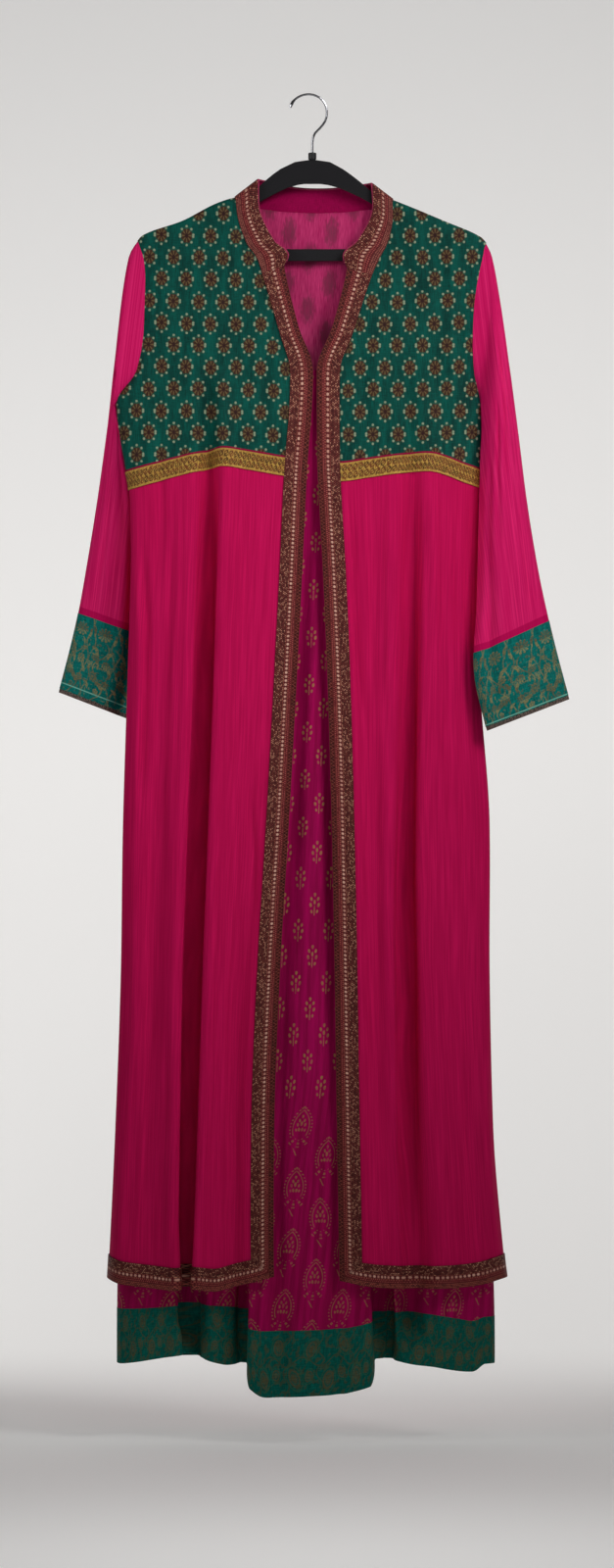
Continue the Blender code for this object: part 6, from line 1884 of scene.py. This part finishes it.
def ribbon_map(coat, side):
    """Along the front ribbon and in from its dark edge, with a mitred corner at the hem."""
    last = coat.across[-1]
    hem = coat.down[-1]

    def uv(points, corners):
        edge = corners[..., 0] if side == "right" else last - corners[..., 0]
        foot = hem - corners[..., 1]
        level = foot < edge
        from_edge = np.where(level, foot, edge)
        along = np.where(level, hem + 20 - edge, corners[..., 1])
        return np.stack([along, RIBBON - from_edge], -1)
    return uv


def hem_map(coat, side):
    hem = coat.down[-1]
    last = coat.across[-1]

    def uv(points, corners):
        edge = corners[..., 0] if side != "left" else last - corners[..., 0]
        return np.stack([hem + 20 - edge, RIBBON - (hem - corners[..., 1])], -1)
    return uv


def along_arm(arm, side, top):
    """Across the arm where the cloth hangs, and down it from a row."""
    lean = math.radians(7.0 if side == "right" else -7.0)

    def uv(points, corners):
        return np.stack([points[..., 0] * math.cos(lean) - points[..., 2] * math.sin(lean), corners[..., 1] - top], -1)
    return uv


def strip_map(coat, side):
    last = coat.across[-1]

    def uv(points, corners):
        edge = corners[..., 0] if side == "right" else last - corners[..., 0]
        return np.stack([corners[..., 1], edge], -1)
    return uv


# ----------------------------------------------------------------- the pieces
HALF = 0.5           # half the cloth's thickness
ON = (0.8, 2.0)      # trims, out of the cloth's middle


def add(node, cloth, picked, low, high, uv, outside, inside):
    made = shell(f"{node}_cloth", cloth, picked, low, high, uv, outside, inside)
    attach(made, "root")
    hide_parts(node)
    return made


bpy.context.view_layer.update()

coat = make_coat()
inner = make_inner()
sleeves = {side: make_sleeve(side) for side in ("right", "left")}
collar = make_collar()

magenta = crinkle("chiffon", linear(188, 11, 78), linear(214, 20, 94), top=float(coat.down[coat.row_starts[len(LINE_CELLS) + 1]]) + 0.5)
magenta_back = crinkle("chiffon_wrong_side", linear(150, 0, 60), linear(190, 8, 84))
# the sleeves' chiffon, on both sides, is lighter and pinker than the skirts': painted light standing in for light
# shining through the single sheer layer, over the cloth's own magenta
sheer = crinkle("sleeve_chiffon", linear(208, 18, 94), linear(238, 42, 118), strength=0.6, seam=linear(184, 0, 78))
sheer_back = crinkle("sleeve_chiffon_wrong_side", linear(160, 6, 68), linear(206, 36, 104))
green = brocade("brocade")
green_back = flat_cloth("brocade_wrong_side", linear(30, 66, 56))
cuff_green = cuff_brocade("cuff_brocade")
trim = ribbon("ribbon", (linear(44, 4, 12), linear(178, 86, 74)))
trim_collar = ribbon("collar_ribbon", (linear(66, 10, 18), linear(164, 92, 80)))
trim_back = flat_cloth("ribbon_wrong_side", linear(84, 30, 30))
strip = gold_strip("gold_strip")
band = gold_band("gold_band")
purple = inner_cloth("inner_chiffon")
purple_back = inner_cloth("inner_chiffon_wrong_side", wrong_side=True)
hem_green = hem_brocade("hem_brocade")
lining = flat_cloth("collar_lining", linear(162, 6, 76))
edging = lace("lace")
cord = piping("piping")
black = flock("flocking")
socket = plain("socket", linear(22, 22, 24), 0.5)
chrome = plain("hook_wire", (0.36, 0.36, 0.38, 1.0), 0.22, 1.0)

front = {"right": (0, len(ACROSS["right"])), "left": (len(ACROSS["right"]) + len(ACROSS_BACK), len(ACROSS["right"]) + len(ACROSS_BACK) + len(ACROSS["left"]))}
behind = (front["right"][1], front["left"][0])
rows, columns = coat.rows, coat.columns
lines = len(LINE_CELLS)


def spaces(low, high, top, bottom):
    return (columns >= low) & (columns < high) & (rows >= top) & (rows < bottom)


made = {}
for side in ("right", "left"):
    low, high = front[side]
    body = (low + 2, high) if side == "right" else (low, high - 2)
    rib = (low + 1, low + 2) if side == "right" else (high - 2, high - 1)
    slim = (low, low + 1) if side == "right" else (high - 1, high)
    last = lines + len(LEVEL_CELLS)
    made[f"front_yoke_{side}"] = add(f"front_yoke_{side}", coat, spaces(low, high, 0, lines), -HALF, HALF, as_seen, green, green_back)
    made[f"front_skirt_{side}"] = add(f"front_skirt_{side}", coat, spaces(low, high, lines, last), -HALF, HALF, as_laid, magenta, magenta_back)
    made[f"front_ribbon_{side}"] = add(f"front_ribbon_{side}", coat, spaces(*rib, 5, last), *ON, ribbon_map(coat, side), trim, trim_back)
    made[f"edge_strip_{side}"] = add(f"edge_strip_{side}", coat, spaces(*slim, 5, last), *ON, strip_map(coat, side), strip, trim_back)
    made[f"yoke_band_{side}"] = add(f"yoke_band_{side}", coat, spaces(*body, lines + 1, lines + 2), *ON, along_hem(coat, coat.down[coat.row_starts[lines + 1]]), band, trim_back)
    made[f"hem_ribbon_{side}"] = add(f"hem_ribbon_{side}", coat, spaces(*body, last - 1, last), *ON, hem_map(coat, side), trim, trim_back)
made["back_yoke"] = add("back_yoke", coat, spaces(*behind, 0, lines), -HALF, HALF, as_seen, green, green_back)
made["back_skirt"] = add("back_skirt", coat, spaces(*behind, lines, last), -HALF, HALF, as_laid, magenta, magenta_back)
made["yoke_band_back"] = add("yoke_band_back", coat, spaces(*behind, lines + 1, lines + 2), *ON, along_hem(coat, coat.down[coat.row_starts[lines + 1]]), band, trim_back)
made["hem_ribbon_back"] = add("hem_ribbon_back", coat, spaces(*behind, last - 1, last), *ON, hem_map(coat, "back"), trim, trim_back)

everything = np.ones(len(collar.quads), bool)
made["collar"] = add("collar", collar, everything, -HALF, HALF, as_laid, lining, lining)
made["collar_ribbon"] = add("collar_ribbon", collar, everything, *ON, as_laid, trim_collar, trim_back)
edge_cord = tube("collar_piping", collar.top[2:-2] + [0, 0, 0.4], 1.5, cord)
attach(edge_cord, "root")

for side in ("right", "left"):
    arm = sleeves[side]
    cuff_top = arm.down[arm.row_starts[7]]
    lace_top = arm.down[arm.row_starts[8]]
    made[f"sleeve_{side}"] = add(f"sleeve_{side}", arm, arm.rows < 7, -HALF, HALF, along_arm(arm, side, cuff_top), sheer, sheer_back)
    made[f"cuff_{side}"] = add(f"cuff_{side}", arm, arm.rows == 7, -HALF, HALF + 0.4, along_hem(arm, cuff_top, 7), cuff_green, green_back)
    made[f"cuff_edging_{side}"] = add(f"cuff_edging_{side}", arm, arm.rows == 8, -HALF, HALF, along_hem(arm, lace_top), edging, trim_back)

in_front = inner.columns < len(ACROSS["right"]) + len(ACROSS["left"]) + 2
band_row = lines + len(INNER_LEVELS) + 1
hem_top = inner.down[inner.row_starts[band_row]]
made["inner_front"] = add("inner_front", inner, in_front & (inner.rows < band_row), -HALF, HALF, slanted, purple, purple_back)
made["inner_back"] = add("inner_back", inner, ~in_front & (inner.rows < band_row), -HALF, HALF, slanted, purple, purple_back)
made["inner_hem_front"] = add("inner_hem_front", inner, in_front & (inner.rows >= band_row), -HALF - 0.2, HALF + 0.3, along_hem(inner, hem_top, band_row), hem_green, green_back)
made["inner_hem_back"] = add("inner_hem_back", inner, ~in_front & (inner.rows >= band_row), -HALF - 0.2, HALF + 0.3, along_hem(inner, hem_top, band_row), hem_green, green_back)

# Each cloth as it was cut, before it was hung: width and length, and its area
# where the cut isn't a rectangle (metres)
FLAT = {
    "front_yoke_right": (0.245, 0.360, 0.0640), "front_yoke_left": (0.225, 0.360, 0.0575), "back_yoke": (0.480, 0.360, 0.1440),
    "front_skirt_right": (0.355, 1.075, 0.3220), "front_skirt_left": (0.290, 1.075, 0.2730), "back_skirt": (0.620, 1.075, 0.5670),
    "sleeve_right": (0.345, 0.500, 0.0748), "sleeve_left": (0.355, 0.500, 0.0810),
    "cuff_right": (0.238, 0.104, None), "cuff_left": (0.219, 0.104, None),
    "collar": (0.475, 0.029, None), "collar_ribbon": (0.495, 0.029, None),
    "front_ribbon_right": (0.029, 1.330, 0.0302), "front_ribbon_left": (0.029, 1.330, 0.0305),
    "yoke_band_right": (0.245, 0.023, None), "yoke_band_left": (0.211, 0.023, None), "yoke_band_back": (0.495, 0.023, None),
    "hem_ribbon_right": (0.328, 0.029, None), "hem_ribbon_left": (0.260, 0.029, None), "hem_ribbon_back": (0.659, 0.029, None),
    "inner_front": (0.680, 1.450, 0.7520), "inner_back": (0.590, 1.450, 0.7000),
    "inner_hem_front": (0.720, 0.075, 0.0520), "inner_hem_back": (0.570, 0.070, 0.0386),
}
GOES_WITH = {
    "front_ribbon_right": ["edge_strip_right"], "front_ribbon_left": ["edge_strip_left"],
    "cuff_right": ["cuff_edging_right"], "cuff_left": ["cuff_edging_left"],
}
for node, (width, length, area) in FLAT.items():
    with_pieces = [made[n] for n in GOES_WITH.get(node, [])]
    if node == "collar":
        with_pieces.append(edge_cord)

# ----------------------------------------------------------------- the hanger
for node, finish in (("hanger", black), ("hook_socket", socket), ("hook", chrome)):
    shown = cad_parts[node]
    for slot in shown.material_slots:
        slot.material = finish

# ------------------------------------------------------- floor, light, camera
FLOOR = -1.722


def backdrop():
    bend, radius = [], 0.9
    for i in range(13):
        turn = math.pi / 2 * i / 12
        bend.append((1.3 + radius * math.sin(turn), FLOOR + radius * (1 - math.cos(turn))))
    profile = [(-4.5, FLOOR)] + bend + [(bend[-1][0], FLOOR + 4.2)]
    wide = 3.4
    vertices = [(x, y, z) for y, z in profile for x in (-wide, wide)]
    faces = [(2 * i, 2 * i + 1, 2 * i + 3, 2 * i + 2) for i in range(len(profile) - 1)]
    mesh = bpy.data.meshes.new("backdrop")
    mesh.from_pydata(vertices, [], faces)
    mesh.shade_smooth()
    paper = plain("paper", linear(229, 228, 226), 0.95, specular=0.05)
    glow = paper.node_tree.nodes["Principled BSDF"].inputs
    glow["Emission Color"].default_value = (1.0, 0.99, 0.98, 1.0)
    glow["Emission Strength"].default_value = 0.26
    mesh.materials.append(paper)
    made = bpy.data.objects.new("backdrop", mesh)
    bpy.context.scene.collection.objects.link(made)


def lamp(name, place, aim, size, power, tall=None, spread=180):
    data = bpy.data.lights.new(name, "AREA")
    data.shape = "RECTANGLE"
    data.size = size
    data.size_y = tall or size
    data.energy = power
    data.spread = math.radians(spread)
    made = bpy.data.objects.new(name, data)
    made.location = place
    made.rotation_euler = (Vector(aim) - Vector(place)).to_track_quat("-Z", "Y").to_euler()
    bpy.context.scene.collection.objects.link(made)
    return made


backdrop()
lamp("top", (0.3, -1.9, 0.75), (0.0, 0.0, -0.43), 1.1, 0.78, spread=40)
lamp("key", (1.45, -1.45, 0.75), (0.05, 0.0, -0.48), 1.2, 3.0, spread=40)
lamp("fill", (-2.25, -1.45, 0.25), (0.0, 0.0, -0.45), 1.0, 1.72, spread=46)
lamp("floor", (0.0, -1.35, 1.3), (0.0, -1.35, -1.72), 1.0, 2.5, spread=42)
lamp("wall_right", (1.25, 0.75, -0.4), (-0.2, 2.2, -0.4), 0.4, 6.5, tall=1.8, spread=130)
lamp("wall_left", (-1.25, 0.75, -0.4), (0.2, 2.2, -0.4), 0.4, 6.9, tall=1.8, spread=130)

scene = bpy.context.scene
world = bpy.data.worlds.new("studio")
world.use_nodes = True
world.node_tree.nodes["Background"].inputs[0].default_value = (1.0, 0.99, 0.98, 1.0)
world.node_tree.nodes["Background"].inputs[1].default_value = 0.03
scene.world = world
scene.view_settings.view_transform = "Standard"
scene.view_settings.look = "None"
scene.view_settings.exposure = 0.0
scene.view_settings.gamma = 1.0

eye = bpy.data.cameras.new("camera")
eye.sensor_width = 36.0
eye.lens = 144.0
camera = bpy.data.objects.new("camera", eye)
camera.location = (-0.0044, -8.035, -0.882)
camera.rotation_euler = (math.radians(90), 0, 0)
scene.collection.objects.link(camera)
scene.camera = camera
